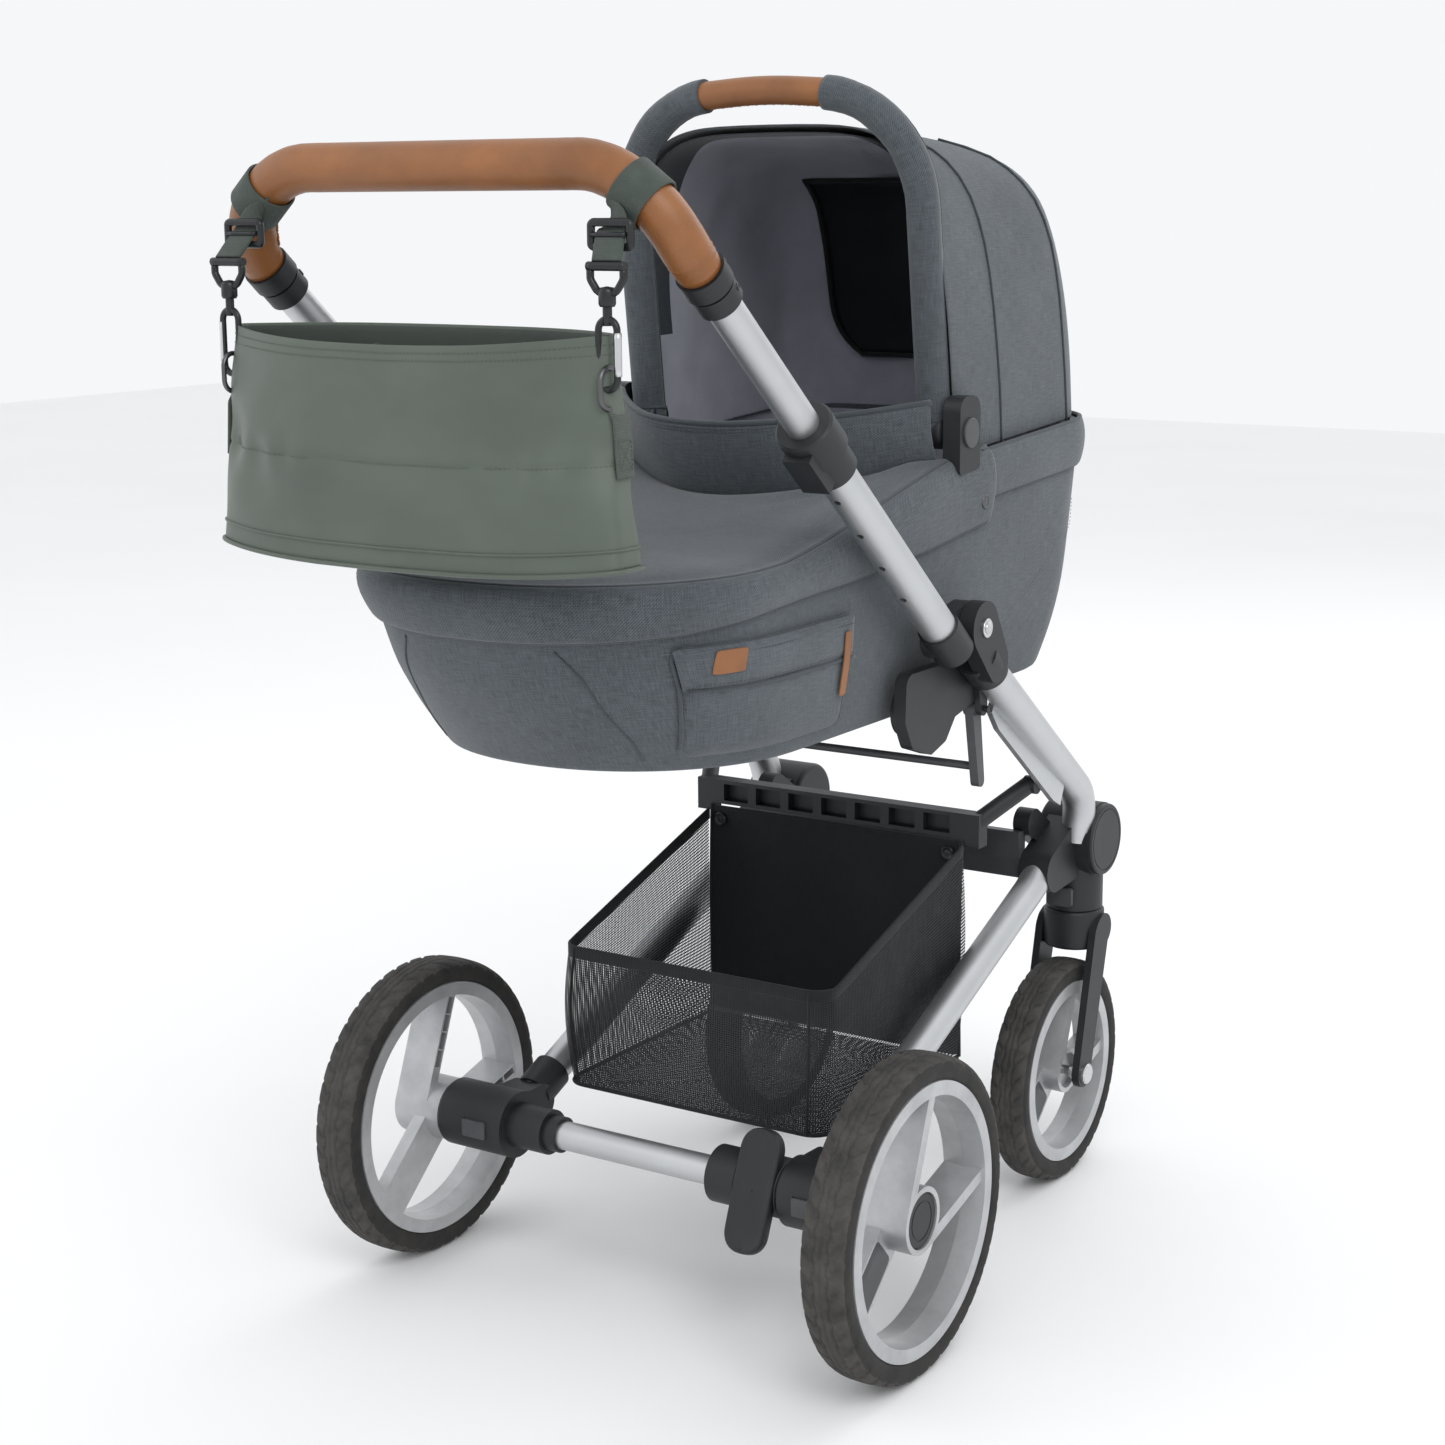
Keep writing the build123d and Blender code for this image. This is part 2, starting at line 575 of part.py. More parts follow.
def band(low, high):
    """The space between two heights measured from the rim line."""
    return slab_x(polygon(rim_line(low) + rim_line(high)[::-1]), -300, 300)


def cot_plan(z, half_w, foot, head, foot_r, head_r):
    outline = polygon([(-half_w, foot), (half_w, foot), (half_w, head), (-half_w, head)],
                      (0, foot_r), (1, foot_r), (2, head_r), (3, head_r))
    return Plane.XY.offset(z) * outline


def cot_volume(grow, floor=COT_FLOOR_Z):
    levels = ((COT_FLOOR_Z, -22, 118, -50), (640, -8, 50, -22), (735, -2, 10, -12), (830, 0, 0, 0))
    plans = []
    for z, side, foot, head in levels:
        z = max(z, floor)
        plans.append(cot_plan(z, COT_HALF_W + side + grow, COT_FOOT_Y + foot - grow,
                              COT_HEAD_Y + head + grow, 128 + grow, 88 + grow))
    return loft(plans)


def cot():
    filled = cot_volume(0)
    filled -= band(0, 200)
    hollow = cot_volume(-COT_WALL, COT_FLOOR_Z + 26)
    node("cot_body", filled - hollow)
    skirt = cot_volume(3.5)
    lid = skirt & band(-46, 9) & box(-300, 300, -400, 118, 600, 900)
    crown = lid - filled - (hollow & band(-200, 3))
    node("cot_apron", crown.solids().sort_by(SortBy.VOLUME)[-1])
    mattress = cot_volume(-COT_WALL - 1, COT_FLOOR_Z + 26.3)
    mattress &= box(-300, 300, -400, 600, 500, COT_FLOOR_Z + 58)
    node("mattress", mattress)
    pocket = cot_volume(7) & box(100, 300, -205, 48, 572, 676)
    node("side_pocket", pocket - filled)
    tag = cot_volume(9.5) & box(100, 300, -158, -124, 654, 675)
    node("leather_tab", tag - cot_volume(7))
    pull = cot_volume(10) & box(100, 300, 22, 32, 610, 668)
    node("zip_pull", pull - cot_volume(7.4))


def wind_flap():
    outer = Pos(0, 92 + 190) * Circle(190)
    inner = Pos(0, 92 + 190) * Circle(184)
    wall = extrude(Plane.XY.offset(740) * (outer - inner), amount=140)
    wall &= box(-300, 300, 0, 222, 700, 900)
    wall &= slab_x(polygon([(60, 766.5), (118, 774), (222, 799), (222, 850), (90, 829), (60, 829)]),
                   -300, 300)
    node("wind_flap", wall.solids().sort_by(SortBy.VOLUME)[-1])


# ---- hood ---------------------------------------------------------------------------
LEAN = degrees(asin((HOOD_PIVOT[0] - BOW_TOP[0]) / (BOW_TOP[1] - HOOD_PIVOT[1])))


def hood_volume(inset):
    half = HOOD_HALF_W - inset
    top = HOOD_TOP_Z - inset
    arch = polygon([(-half, 700), (half, 700), (half, top - 26), (0, top), (-half, top - 26)],
                   (2, 105 - inset), (4, 105 - inset))
    tunnel = extrude(Plane.XZ * arch, amount=700, both=True)
    rear = COT_HEAD_Y - 6 - inset
    front_low = HOOD_PIVOT[0] + BOW_R + SOFT_GAP + 60 * tan(radians(LEAN)) - inset * 4
    rise = (1200 - 760) * tan(radians(LEAN))
    side = polygon([(front_low, 760), (rear + 4, 760), (rear, 830), (rear - 10, 935),
                    (rear - 40, top - 20), (front_low - rise + 40, top + 3),
                    (front_low - rise, 1200)], (4, 78 - inset))
    plan = cot_plan(700, half, -100, rear + 4, 20, 92 - inset)
    return tunnel & slab_x(side, -300, 300) & extrude(plan, amount=600)


def hood():
    canopy = hood_volume(0) - hood_volume(4)
    canopy -= band(-200, 0.5)
    node("hood_canopy", canopy.solids().sort_by(SortBy.VOLUME)[-1])
    y, z = HOOD_PIVOT
    top_y, top_z = BOW_TOP
    corner = 0.965
    corner_y = y + (top_y - y) * corner
    corner_z = z + (top_z - z) * corner
    points = [(BOW_HALF_W, y, z), (BOW_HALF_W - 1, corner_y, corner_z), (0, top_y, top_z),
              (-BOW_HALF_W + 1, corner_y, corner_z), (-BOW_HALF_W, y, z)]
    grip_half = 70.0
    whole = swept(points, [105, 500, 105], BOW_R)
    middle = box(-grip_half, grip_half, 100, 300, 1000, 1300)
    core = swept(points, [105, 500, 105], 8) & box(-grip_half - 2, grip_half + 2, 100, 300, 1000, 1300)
    legs = whole - middle
    foot = disc(BOW_R, BOW_HALF_W - 14, BOW_HALF_W + 14, y, z)
    pivot = disc(8, BOW_HALF_W, BOW_HALF_W + 30, y, z)
    node("hood_bow", legs + core + foot + flip(foot) + pivot + flip(pivot))
    grip = swept(points, [105, 500, 105], 13) - swept(points, [105, 500, 105], 8)
    node("hood_grip", grip & middle)
    hub_x = BOW_HALF_W + 19.5
    hub = slab_x(polygon([(y - 20, z - 38), (y + 20, z - 34), (y + 20, z + 34), (y - 20, z + 34)],
                         (0, 4), (1, 4), (2, 14), (3, 14)), hub_x, hub_x + 18)
    hub -= cot_volume(0) - band(0, 200)
    hub -= disc(8 + RUN_GAP, hub_x - 1, hub_x + 11.3, y, z)
    hub -= disc(14.2, hub_x + 13, hub_x + 20, y, z)
    on_both_sides("hood_hubs", hub)
    button = disc(14, hub_x + 16.5, hub_x + 20.5, y, z)
    button = fillet(button.edges().group_by(Axis.X)[-1], 1.2)
    left_and_right("hood_button", button)


# ---- cot carriers and fold levers ---------------------------------------------------
def carriers():
    """Adapters that carry the cot between the lower tubes."""
    foot = polygon([(120, 610), (206, 610), (262, 590), (262, 566), (214, 556), (196, 536), (168, 528),
                    (132, 540), (118, 566)], (0, 12), (2, 6), (5, 8), (7, 10))
    adapter = slab_x(foot, 191, 203.5)
    adapter += disc(24, 183, 192, 150, 572)
    adapter += box(183, 192, 196, 226, 552, 590)
    start = Vector(219, 225, 614)
    run = (Vector(196, 511, 419) - start).normalized()
    adapter -= bar(start - run * 2, start + run * 34, 20.5)
    tube = swept(lower_tube_points(), 55, LOWER_TUBE_R)
    adapter -= cot_volume(0.05)
    adapter -= tube
    adapter = adapter.solids().sort_by(SortBy.VOLUME)[-1]
    hang_y, hang_z = 262.0, 556.0
    lever = link((hang_y, hang_z), 8, (hang_y + 12, hang_z - 74), 6, 192, 201)
    lever += disc(8, 190, 203.2, hang_y, hang_z)
    lever -= disc(3 + RUN_GAP, 180, 210, hang_y, hang_z)
    cross = disc(4, -192, 192, hang_y + 10, hang_z - 60)
    node("fold_levers", lever + flip(lever) + cross)
    pin = disc(3, 186, 214, hang_y, hang_z)
    ear = link((hang_y, hang_z), 7, (258, 588), 9, 203.4, 209)
    ear -= bar(start - run * 2, start + run * 34, 20.5)
    ear -= tube
    ear = ear.solids().sort_by(SortBy.VOLUME)[-1]
    hanger = pin + ear
    node("cot_adapters", adapter, flip(adapter), hanger, flip(hanger))


def snaps():
    """Press studs on the basket panel and on the cot's apron."""
    studs = []
    for side in (-1, 1):
        face = BASKET_FRONT_Y + 4.5
        studs.append(bar((side * 138, face, 391), (side * 138, face + 2.5, 391), 7))
    node("snaps", *studs)


rear_wheels()
front_wheels()
casters()
caster_sockets()
front_joints()
rear_axle()
brake()
lower_frame()
hinges()
handle_base()
handle()
bag_straps()
bag()
basket()
cot()
wind_flap()
hood()
carriers()
snaps()
write()

print("nodes", len(NODES))
for label, point in (("handle_fold", PIVOT), ("handle_slide", ALONG), ("middle", (0, MIDDLE_Y, 0))):
    print("place", label, *[round(value, 4) for value in point])
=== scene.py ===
import json
import math

import bmesh
import bpy
import numpy as np
from mathutils import Matrix, Vector


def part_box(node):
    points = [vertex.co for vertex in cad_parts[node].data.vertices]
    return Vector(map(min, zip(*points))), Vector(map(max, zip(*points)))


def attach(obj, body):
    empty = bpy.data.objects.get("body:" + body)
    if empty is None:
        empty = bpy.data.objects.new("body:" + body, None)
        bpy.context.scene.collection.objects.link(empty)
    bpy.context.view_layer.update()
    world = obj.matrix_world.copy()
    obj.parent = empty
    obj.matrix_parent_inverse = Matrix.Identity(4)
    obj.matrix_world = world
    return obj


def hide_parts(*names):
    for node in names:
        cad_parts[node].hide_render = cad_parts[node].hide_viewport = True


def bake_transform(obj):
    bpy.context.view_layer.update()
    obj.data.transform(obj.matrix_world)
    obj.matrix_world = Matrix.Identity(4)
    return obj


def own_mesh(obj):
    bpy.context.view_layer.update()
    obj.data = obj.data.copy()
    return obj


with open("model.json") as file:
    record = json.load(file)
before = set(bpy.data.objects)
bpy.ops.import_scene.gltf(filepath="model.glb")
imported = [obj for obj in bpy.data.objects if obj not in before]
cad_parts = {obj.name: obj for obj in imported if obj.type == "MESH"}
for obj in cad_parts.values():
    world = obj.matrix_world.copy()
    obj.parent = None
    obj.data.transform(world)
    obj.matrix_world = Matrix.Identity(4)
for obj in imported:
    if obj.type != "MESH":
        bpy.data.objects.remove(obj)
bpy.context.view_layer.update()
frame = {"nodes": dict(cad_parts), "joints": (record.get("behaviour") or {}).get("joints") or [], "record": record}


# ---- places -------------------------------------------------------------------------
def middle(node):
    low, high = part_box(node)
    return (low + high) / 2


AXLE_Y = middle("rear_axle_tube").y


def at(x, y, z):
    """Millimetres from the rear axle on the ground to the frame's metres."""
    return Vector((x / 1000, AXLE_Y + y / 1000, z / 1000))


def mm(vector):
    """The frame's metres to millimetres from the rear axle on the ground."""
    return np.array([vector.x, vector.y - AXLE_Y, vector.z]) * 1000


def box_mm(node):
    """A node's low and high corners, in millimetres."""
    return [mm(v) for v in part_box(node)]


COT_LOW, COT_HIGH = box_mm("cot_body")
BAG_LOW, BAG_HIGH = box_mm("bag")
BASKET_LOW, BASKET_HIGH = box_mm("basket_mesh")
PIVOT = mm(middle("hood_button_right"))


# ---- node helpers for materials -----------------------------------------------------
class Nodes:
    def __init__(self, name):
        self.mat = bpy.data.materials.new(name)
        self.mat.use_nodes = True
        self.tree = self.mat.node_tree
        self.tree.nodes.clear()
        self.out = self.add("ShaderNodeOutputMaterial")
        self.shader = self.add("ShaderNodeBsdfPrincipled")
        self.join(self.shader.outputs[0], self.out.inputs["Surface"])

    def add(self, kind, **values):
        node = self.tree.nodes.new(kind)
        for key, value in values.items():
            setattr(node, key, value)
        return node

    def join(self, a, b):
        self.tree.links.new(a, b)

    def set(self, **values):
        for key, value in values.items():
            self.shader.inputs[key.replace("_", " ")].default_value = value

    def feed(self, value, socket):
        self.join(value, self.shader.inputs[socket])

    def coords(self, scale, uv=False):
        source = self.add("ShaderNodeTexCoord")
        mapping = self.add("ShaderNodeMapping")
        mapping.inputs["Scale"].default_value = scale
        self.join(source.outputs["UV" if uv else "Object"], mapping.inputs[0])
        return mapping.outputs[0]

    def noise(self, vector, scale, detail=3.0, rough=0.55):
        node = self.add("ShaderNodeTexNoise")
        node.inputs["Scale"].default_value = scale
        node.inputs["Detail"].default_value = detail
        node.inputs["Roughness"].default_value = rough
        self.join(vector, node.inputs["Vector"])
        return node.outputs[0]

    def wave(self, vector, scale, direction="X", distortion=0.0):
        node = self.add("ShaderNodeTexWave", bands_direction=direction)
        node.inputs["Scale"].default_value = scale
        node.inputs["Distortion"].default_value = distortion
        self.join(vector, node.inputs["Vector"])
        return node.outputs[1]

    def voronoi(self, vector, scale, feature="F1"):
        node = self.add("ShaderNodeTexVoronoi", feature=feature)
        node.inputs["Scale"].default_value = scale
        self.join(vector, node.inputs["Vector"])
        return node.outputs["Distance"]

    def math(self, kind, a, b=None, c=None):
        node = self.add("ShaderNodeMath", operation=kind)
        for number, value in enumerate((a, b, c)):
            if value is None:
                continue
            if isinstance(value, (int, float)):
                node.inputs[number].default_value = value
            else:
                self.join(value, node.inputs[number])
        return node.outputs[0]

    def ramp(self, fac, low, high, colour_a, colour_b):
        node = self.add("ShaderNodeValToRGB")
        node.color_ramp.elements[0].position = low
        node.color_ramp.elements[1].position = high
        node.color_ramp.elements[0].color = (*colour_a, 1)
        node.color_ramp.elements[1].color = (*colour_b, 1)
        self.join(fac, node.inputs[0])
        return node.outputs[0]

    def mix(self, fac, a, b):
        node = self.add("ShaderNodeMix", data_type="RGBA")
        for socket, value in ((node.inputs[0], fac), (node.inputs[6], a), (node.inputs[7], b)):
            if isinstance(value, (int, float)):
                socket.default_value = value
            elif isinstance(value, tuple):
                socket.default_value = (*value, 1)
            else:
                self.join(value, socket)
        return node.outputs[2]

    def span(self, value, low, high):
        node = self.add("ShaderNodeMapRange")
        node.inputs["To Min"].default_value = low
        node.inputs["To Max"].default_value = high
        self.join(value, node.inputs[0])
        return node.outputs[0]

    def bump(self, height, strength, distance):
        node = self.add("ShaderNodeBump")
        node.inputs["Strength"].default_value = strength
        node.inputs["Distance"].default_value = distance
        self.join(height, node.inputs["Height"])
        self.join(node.outputs[0], self.shader.inputs["Normal"])


def tint(colour, factor):
    return tuple(min(1.0, c * factor) for c in colour)


WAVE_PERIOD = 0.31  # metres between a wave texture's bands at scale 1


def twill(name, colour, contrast=0.35, pitch=0.0011):
    """Melange twill: crossed yarns with a diagonal rib, and flecked yarn colours."""
    n = Nodes(name)
    flat = n.coords((1, 1, 1), True)
    rib = n.wave(flat, WAVE_PERIOD / pitch, "DIAGONAL")
    warp = n.wave(flat, WAVE_PERIOD / pitch, "X", 0.4)
    weft = n.wave(flat, WAVE_PERIOD / pitch, "Y", 0.4)
    cross = n.math("MULTIPLY", n.math("ADD", warp, weft), 0.5)
    weave = n.math("ADD", n.math("MULTIPLY", rib, 0.6), n.math("MULTIPLY", cross, 0.4))
    streak_x = n.noise(n.coords((60, 900, 60), True), 1.0, 2.0)
    streak_y = n.noise(n.coords((900, 60, 60), True), 1.0, 2.0)
    fleck = n.math("MULTIPLY", n.math("ADD", streak_x, streak_y), 0.5)
    cloud = n.noise(n.coords((5, 5, 5)), 1.0, 3.0)
    amount = n.math("ADD", n.math("MULTIPLY", fleck, 0.62), n.math("MULTIPLY", weave, 0.2))
    amount = n.math("ADD", amount, n.math("MULTIPLY", cloud, 0.2))
    low, high = tint(colour, 1 - contrast), tint(colour, 1 + contrast)
    base = n.ramp(amount, 0.36, 0.70, low, high)
    n.feed(base, "Base Color")
    n.set(Roughness=0.86, Sheen_Weight=0.22, Sheen_Roughness=0.5, Specular_IOR_Level=0.18)
    n.bump(weave, 0.45, 0.0004)
    return n.mat


def satin(name, colour, rough=0.42):
    """Smooth nylon satin with soft puckers."""
    n = Nodes(name)
    wrinkle = n.noise(n.coords((9, 9, 16)), 1.0, 4.0, 0.5)
    thread = n.wave(n.coords((1, 1, 1), True), 420.0, "Y", 0.3)
    base = n.ramp(wrinkle, 0.3, 0.72, tint(colour, 0.86), tint(colour, 1.12))
    n.feed(base, "Base Color")
    n.feed(n.span(wrinkle, rough - 0.06, rough + 0.1), "Roughness")
    n.set(Sheen_Weight=0.12, Sheen_Roughness=0.4, Specular_IOR_Level=0.42)
    height = n.math("ADD", wrinkle, n.math("MULTIPLY", thread, 0.03))
    n.bump(height, 0.5, 0.004)
    return n.mat


def webbing(name, colour):
    n = Nodes(name)
    flat = n.coords((1, 1, 1), True)
    rib = n.wave(flat, 190.0, "X", 0.2)
    pick = n.wave(flat, 330.0, "Y", 0.2)
    weave = n.math("MULTIPLY", rib, pick)
    cloud = n.noise(n.coords((70, 70, 70)), 1.0, 3.0)
    amount = n.math("ADD", n.math("MULTIPLY", weave, 0.45), n.math("MULTIPLY", cloud, 0.5))
    base = n.ramp(amount, 0.2, 0.75, tint(colour, 0.66), tint(colour, 1.25))
    n.feed(base, "Base Color")
    n.set(Roughness=0.75, Sheen_Weight=0.1, Specular_IOR_Level=0.25)
    n.bump(weave, 0.6, 0.0006)
    return n.mat


def lining(name, colour):
    n = Nodes(name)
    flat = n.coords((1, 1, 1), True)
    warp = n.wave(flat, 500.0, "X", 0.3)
    weft = n.wave(flat, 500.0, "Y", 0.3)
    weave = n.math("MULTIPLY", warp, weft)
    crease = n.noise(n.coords((11, 11, 11)), 1.0, 5.0, 0.6)
    base = n.ramp(crease, 0.28, 0.75, tint(colour, 0.8), tint(colour, 1.12))
    n.feed(base, "Base Color")
    n.set(Roughness=0.8, Sheen_Weight=0.15, Specular_IOR_Level=0.2)
    height = n.math("ADD", crease, n.math("MULTIPLY", weave, 0.05))
    n.bump(height, 0.55, 0.005)
    return n.mat


def netting(name, colour, pitch, hole):
    """Open mesh: round holes between crossing threads."""
    n = Nodes(name)
    flat = n.coords((1 / pitch, 1 / pitch, 1), True)
    apart = n.add("ShaderNodeSeparateXYZ")
    n.join(flat, apart.inputs[0])
    u = n.math("SUBTRACT", n.math("FRACT", apart.outputs[0]), 0.5)
    v = n.math("SUBTRACT", n.math("FRACT", apart.outputs[1]), 0.5)
    gap = n.math("SQRT", n.math("ADD", n.math("MULTIPLY", u, u), n.math("MULTIPLY", v, v)))
    alpha = n.math("GREATER_THAN", gap, hole)
    dust = n.noise(n.coords((40, 40, 40)), 1.0, 4.0)
    base = n.ramp(dust, 0.3, 0.8, tint(colour, 0.8), tint(colour, 1.5))
    n.feed(base, "Base Color")
    n.feed(alpha, "Alpha")
    n.set(Roughness=0.6, Specular_IOR_Level=0.3)
    n.bump(gap, 0.4, 0.0004)
    return n.mat


def leather(name, colour):
    """Cognac leatherette: fine pores, soft creases, and painted shade darkening the hollows of its grain."""
    n = Nodes(name)
    place = n.coords((1, 1, 1))
    cell = n.voronoi(place, 900.0)
    pore = n.noise(place, 1500.0, 2.0)
    tone = n.noise(place, 22.0, 4.0)
    base = n.ramp(tone, 0.3, 0.72, tint(colour, 0.78), tint(colour, 1.16))
    # painted shade: the grain's hollows are mixed towards a darker cognac
    base = n.mix(n.span(cell, 0.0, 0.22), base, tint(colour, 0.6))
    n.feed(base, "Base Color")
    n.feed(n.span(tone, 0.34, 0.5), "Roughness")
    n.set(Specular_IOR_Level=0.5, Coat_Weight=0.08, Coat_Roughness=0.35)
    height = n.math("ADD", n.math("MULTIPLY", cell, 0.8), n.math("MULTIPLY", pore, 0.25))
    n.bump(height, 0.35, 0.0006)
    return n.mat


def plastic(name, colour, rough=0.5):
    """Moulded plastic: spark-eroded grain and slight dust."""
    n = Nodes(name)
    place = n.coords((1, 1, 1))
    fine = n.noise(place, 1400.0, 2.0)
    dust = n.noise(place, 30.0, 5.0, 0.65)
    base = n.ramp(dust, 0.35, 0.8, colour, tint(colour, 1.5))
    n.feed(base, "Base Color")
    n.feed(n.span(dust, rough - 0.08, rough + 0.12), "Roughness")
    n.set(Specular_IOR_Level=0.42)
    n.bump(fine, 0.22, 0.0003)
    return n.mat


def metal(name, colour, rough=0.3):
    n = Nodes(name)
    fine = n.noise(n.coords((30, 30, 30)), 30.0, 3.0)
    smear = n.noise(n.coords((14, 14, 14)), 1.0, 4.0)
    base = n.ramp(smear, 0.3, 0.75, tint(colour, 0.93), tint(colour, 1.04))
    n.feed(base, "Base Color")
    n.feed(n.span(smear, rough - 0.04, rough + 0.08), "Roughness")
    n.set(Metallic=1.0)
    n.bump(fine, 0.05, 0.0003)
    return n.mat


def rim_paint(name, colour):
    n = Nodes(name)
    flake = n.noise(n.coords((1, 1, 1)), 2500.0, 2.0)
    grime = n.noise(n.coords((1, 1, 1)), 26.0, 5.0, 0.65)
    base = n.ramp(grime, 0.34, 0.8, colour, tint(colour, 0.72))
    n.feed(base, "Base Color")
    n.feed(n.span(grime, 0.3, 0.5), "Roughness")
    n.set(Metallic=0.55, Coat_Weight=0.15, Coat_Roughness=0.3)
    n.bump(flake, 0.08, 0.0002)
    return n.mat


def rubber(name, colour, dusty):
    n = Nodes(name)
    place = n.coords((1, 1, 1))
    dirt = n.noise(place, 38.0, 6.0, 0.7)
    fine = n.noise(place, 900.0, 3.0)
    base = n.ramp(dirt, 0.36, 0.68, colour, dusty)
    n.feed(base, "Base Color")
    n.feed(n.span(dirt, 0.62, 0.9), "Roughness")
    n.set(Specular_IOR_Level=0.3)
    height = n.math("ADD", n.math("MULTIPLY", fine, 0.4), n.math("MULTIPLY", dirt, 0.6))
    n.bump(height, 0.35, 0.0008)
    return n.mat


TWILL = twill("blue_grey_twill", (0.080, 0.093, 0.104), 0.55, 0.0014)
TWILL_DARK = twill("blue_grey_twill_hem", (0.060, 0.072, 0.082))
LINING = lining("pale_lining", (0.400, 0.410, 0.470))
STRIP = twill("dark_strip", (0.034, 0.041, 0.048))
SAGE = satin("sage_satin", (0.084, 0.104, 0.084))
SAGE_IN = satin("sage_lining", (0.048, 0.060, 0.052), 0.5)
WEBBING = webbing("sage_webbing", (0.072, 0.090, 0.078))
TAB = webbing("sage_tab", (0.085, 0.102, 0.088))
NET = netting("black_net", (0.018, 0.019, 0.020), 0.0026, 0.30)
DENSE = netting("floor_net", (0.014, 0.015, 0.016), 0.0024, 0.19)
WINDOW = netting("window_net", (0.006, 0.007, 0.009), 0.0011, 0.16)
PANEL = lining("black_panel", (0.010, 0.011, 0.013))
BINDING = webbing("black_binding", (0.014, 0.015, 0.016))
LEATHER = leather("cognac_leather", (0.262, 0.098, 0.026))
THREAD = plastic("cognac_thread", (0.40, 0.20, 0.09), 0.7)
GREY_THREAD = plastic("grey_thread", (0.042, 0.050, 0.058), 0.75)
SAGE_THREAD = plastic("sage_thread", (0.07, 0.09, 0.07), 0.7)
BLACK = plastic("black_plastic", (0.013, 0.0145, 0.0165), 0.46)
BLACK_SMOOTH = plastic("black_gloss", (0.010, 0.011, 0.012), 0.3)
GREY = plastic("grey_plastic", (0.050, 0.053, 0.057), 0.42)
ALUMINIUM = metal("satin_aluminium", (0.58, 0.59, 0.60), 0.42)
STEEL = metal("steel", (0.62, 0.62, 0.63), 0.26)
GUNMETAL = metal("gunmetal", (0.13, 0.13, 0.135), 0.34)
RIM = rim_paint("silver_rim", (0.50, 0.51, 0.52))
TREAD = rubber("tread", (0.034, 0.033, 0.032), (0.078, 0.073, 0.068))
SIDEWALL = rubber("sidewall", (0.018, 0.018, 0.018), (0.040, 0.037, 0.034))
PIPING = twill("piping", (0.052, 0.062, 0.070))

FINISH = {
    "aluminium_tube": ALUMINIUM, "black_plastic": BLACK, "grey_plastic": GREY, "rim_silver": RIM,
    "tread": TREAD, "steel": STEEL, "cognac_leather": LEATHER, "blue_grey_twill": TWILL,
    "pale_lining": LINING, "black_mesh": NET, "black_fabric": PANEL, "sage_satin": SAGE,
    "sage_webbing": WEBBING, "black_metal": BLACK_SMOOTH,
}
for part in frame["record"]["subparts"]:
    kept = frame["nodes"][part["node"]]
    kept.data.materials.clear()
    kept.data.materials.append(FINISH[part["material_slot"]])


# ---- mesh helpers -------------------------------------------------------------------
def finish_mesh(name, points, faces, mats, face_mats=None, uvs=None, smooth=True):
    mesh = bpy.data.meshes.new(name)
    mesh.from_pydata([tuple(at(*p)) for p in points], [], faces)
    for material in mats:
        mesh.materials.append(material)
    if face_mats is not None:
        mesh.polygons.foreach_set("material_index", face_mats)
    if uvs is not None:
        layer = mesh.uv_layers.new(name="UVMap")
        layer.data.foreach_set("uv", np.asarray(uvs, np.float32).ravel())
    mesh.polygons.foreach_set("use_smooth", [smooth] * len(faces))
    mesh.update()
    obj = bpy.data.objects.new(name, mesh)
    bpy.context.scene.collection.objects.link(obj)
    return obj


def grid(name, points, mats, close_u=False, close_v=False, pick=None):
    """A sheet from points[u][v] in millimetres, with UVs in metres along the cloth."""
    points = np.asarray(points, float)
    nu, nv = points.shape[:2]
    wide = np.roll(points, -1, 0) - points
    tall = np.roll(points, -1, 1) - points
    u_run = np.concatenate([[0], np.cumsum(np.linalg.norm(wide, axis=2).max(1))]) / 1000
    v_run = np.concatenate([[0], np.cumsum(np.linalg.norm(tall, axis=2).mean(0))]) / 1000
    faces, uvs, chosen = [], [], []
    for i in range(nu if close_u else nu - 1):
        for j in range(nv if close_v else nv - 1):
            a, b = (i + 1) % nu, (j + 1) % nv
            faces.append((i * nv + j, a * nv + j, a * nv + b, i * nv + b))
            uvs += [(u_run[i], v_run[j]), (u_run[i + 1], v_run[j]),
                    (u_run[i + 1], v_run[j + 1]), (u_run[i], v_run[j + 1])]
            chosen.append(pick(i, j) if pick else 0)
    return finish_mesh(name, points.reshape(-1, 3), faces, mats, chosen, uvs)


def tidy(obj, distance=0.00005, normals=True):
    work = bmesh.new()
    work.from_mesh(obj.data)
    bmesh.ops.remove_doubles(work, verts=work.verts, dist=distance)
    bmesh.ops.dissolve_degenerate(work, edges=work.edges, dist=1e-6)
    if normals:
        bmesh.ops.recalc_face_normals(work, faces=work.faces)
    work.to_mesh(obj.data)
    work.free()
    return obj


def thick(obj, millimetres, offset=-1.0):
    modifier = obj.modifiers.new("thickness", "SOLIDIFY")
    modifier.thickness = millimetres / 1000
    modifier.offset = offset
    modifier.use_even_offset = False
    return obj


def soften(obj, levels=1):
    modifier = obj.modifiers.new("smooth", "SUBSURF")
    modifier.levels = levels
    modifier.render_levels = levels
    return obj


def curve_through(points, count):
    """Evenly spaced points on a Catmull-Rom line through the given ones."""
    points = np.asarray(points, float)
    ends = [2 * points[0] - points[1], *points, 2 * points[-1] - points[-2]]
    dense = []
    for k in range(1, len(ends) - 2):
        p0, p1, p2, p3 = ends[k - 1], ends[k], ends[k + 1], ends[k + 2]
        for t in np.linspace(0, 1, 24, endpoint=False):
            dense.append(0.5 * (2 * p1 + (p2 - p0) * t + (2 * p0 - 5 * p1 + 4 * p2 - p3) * t ** 2
                                + (3 * p1 - p0 - 3 * p2 + p3) * t ** 3))
    dense = np.array([*dense, points[-1]])
    return spaced(dense, count)


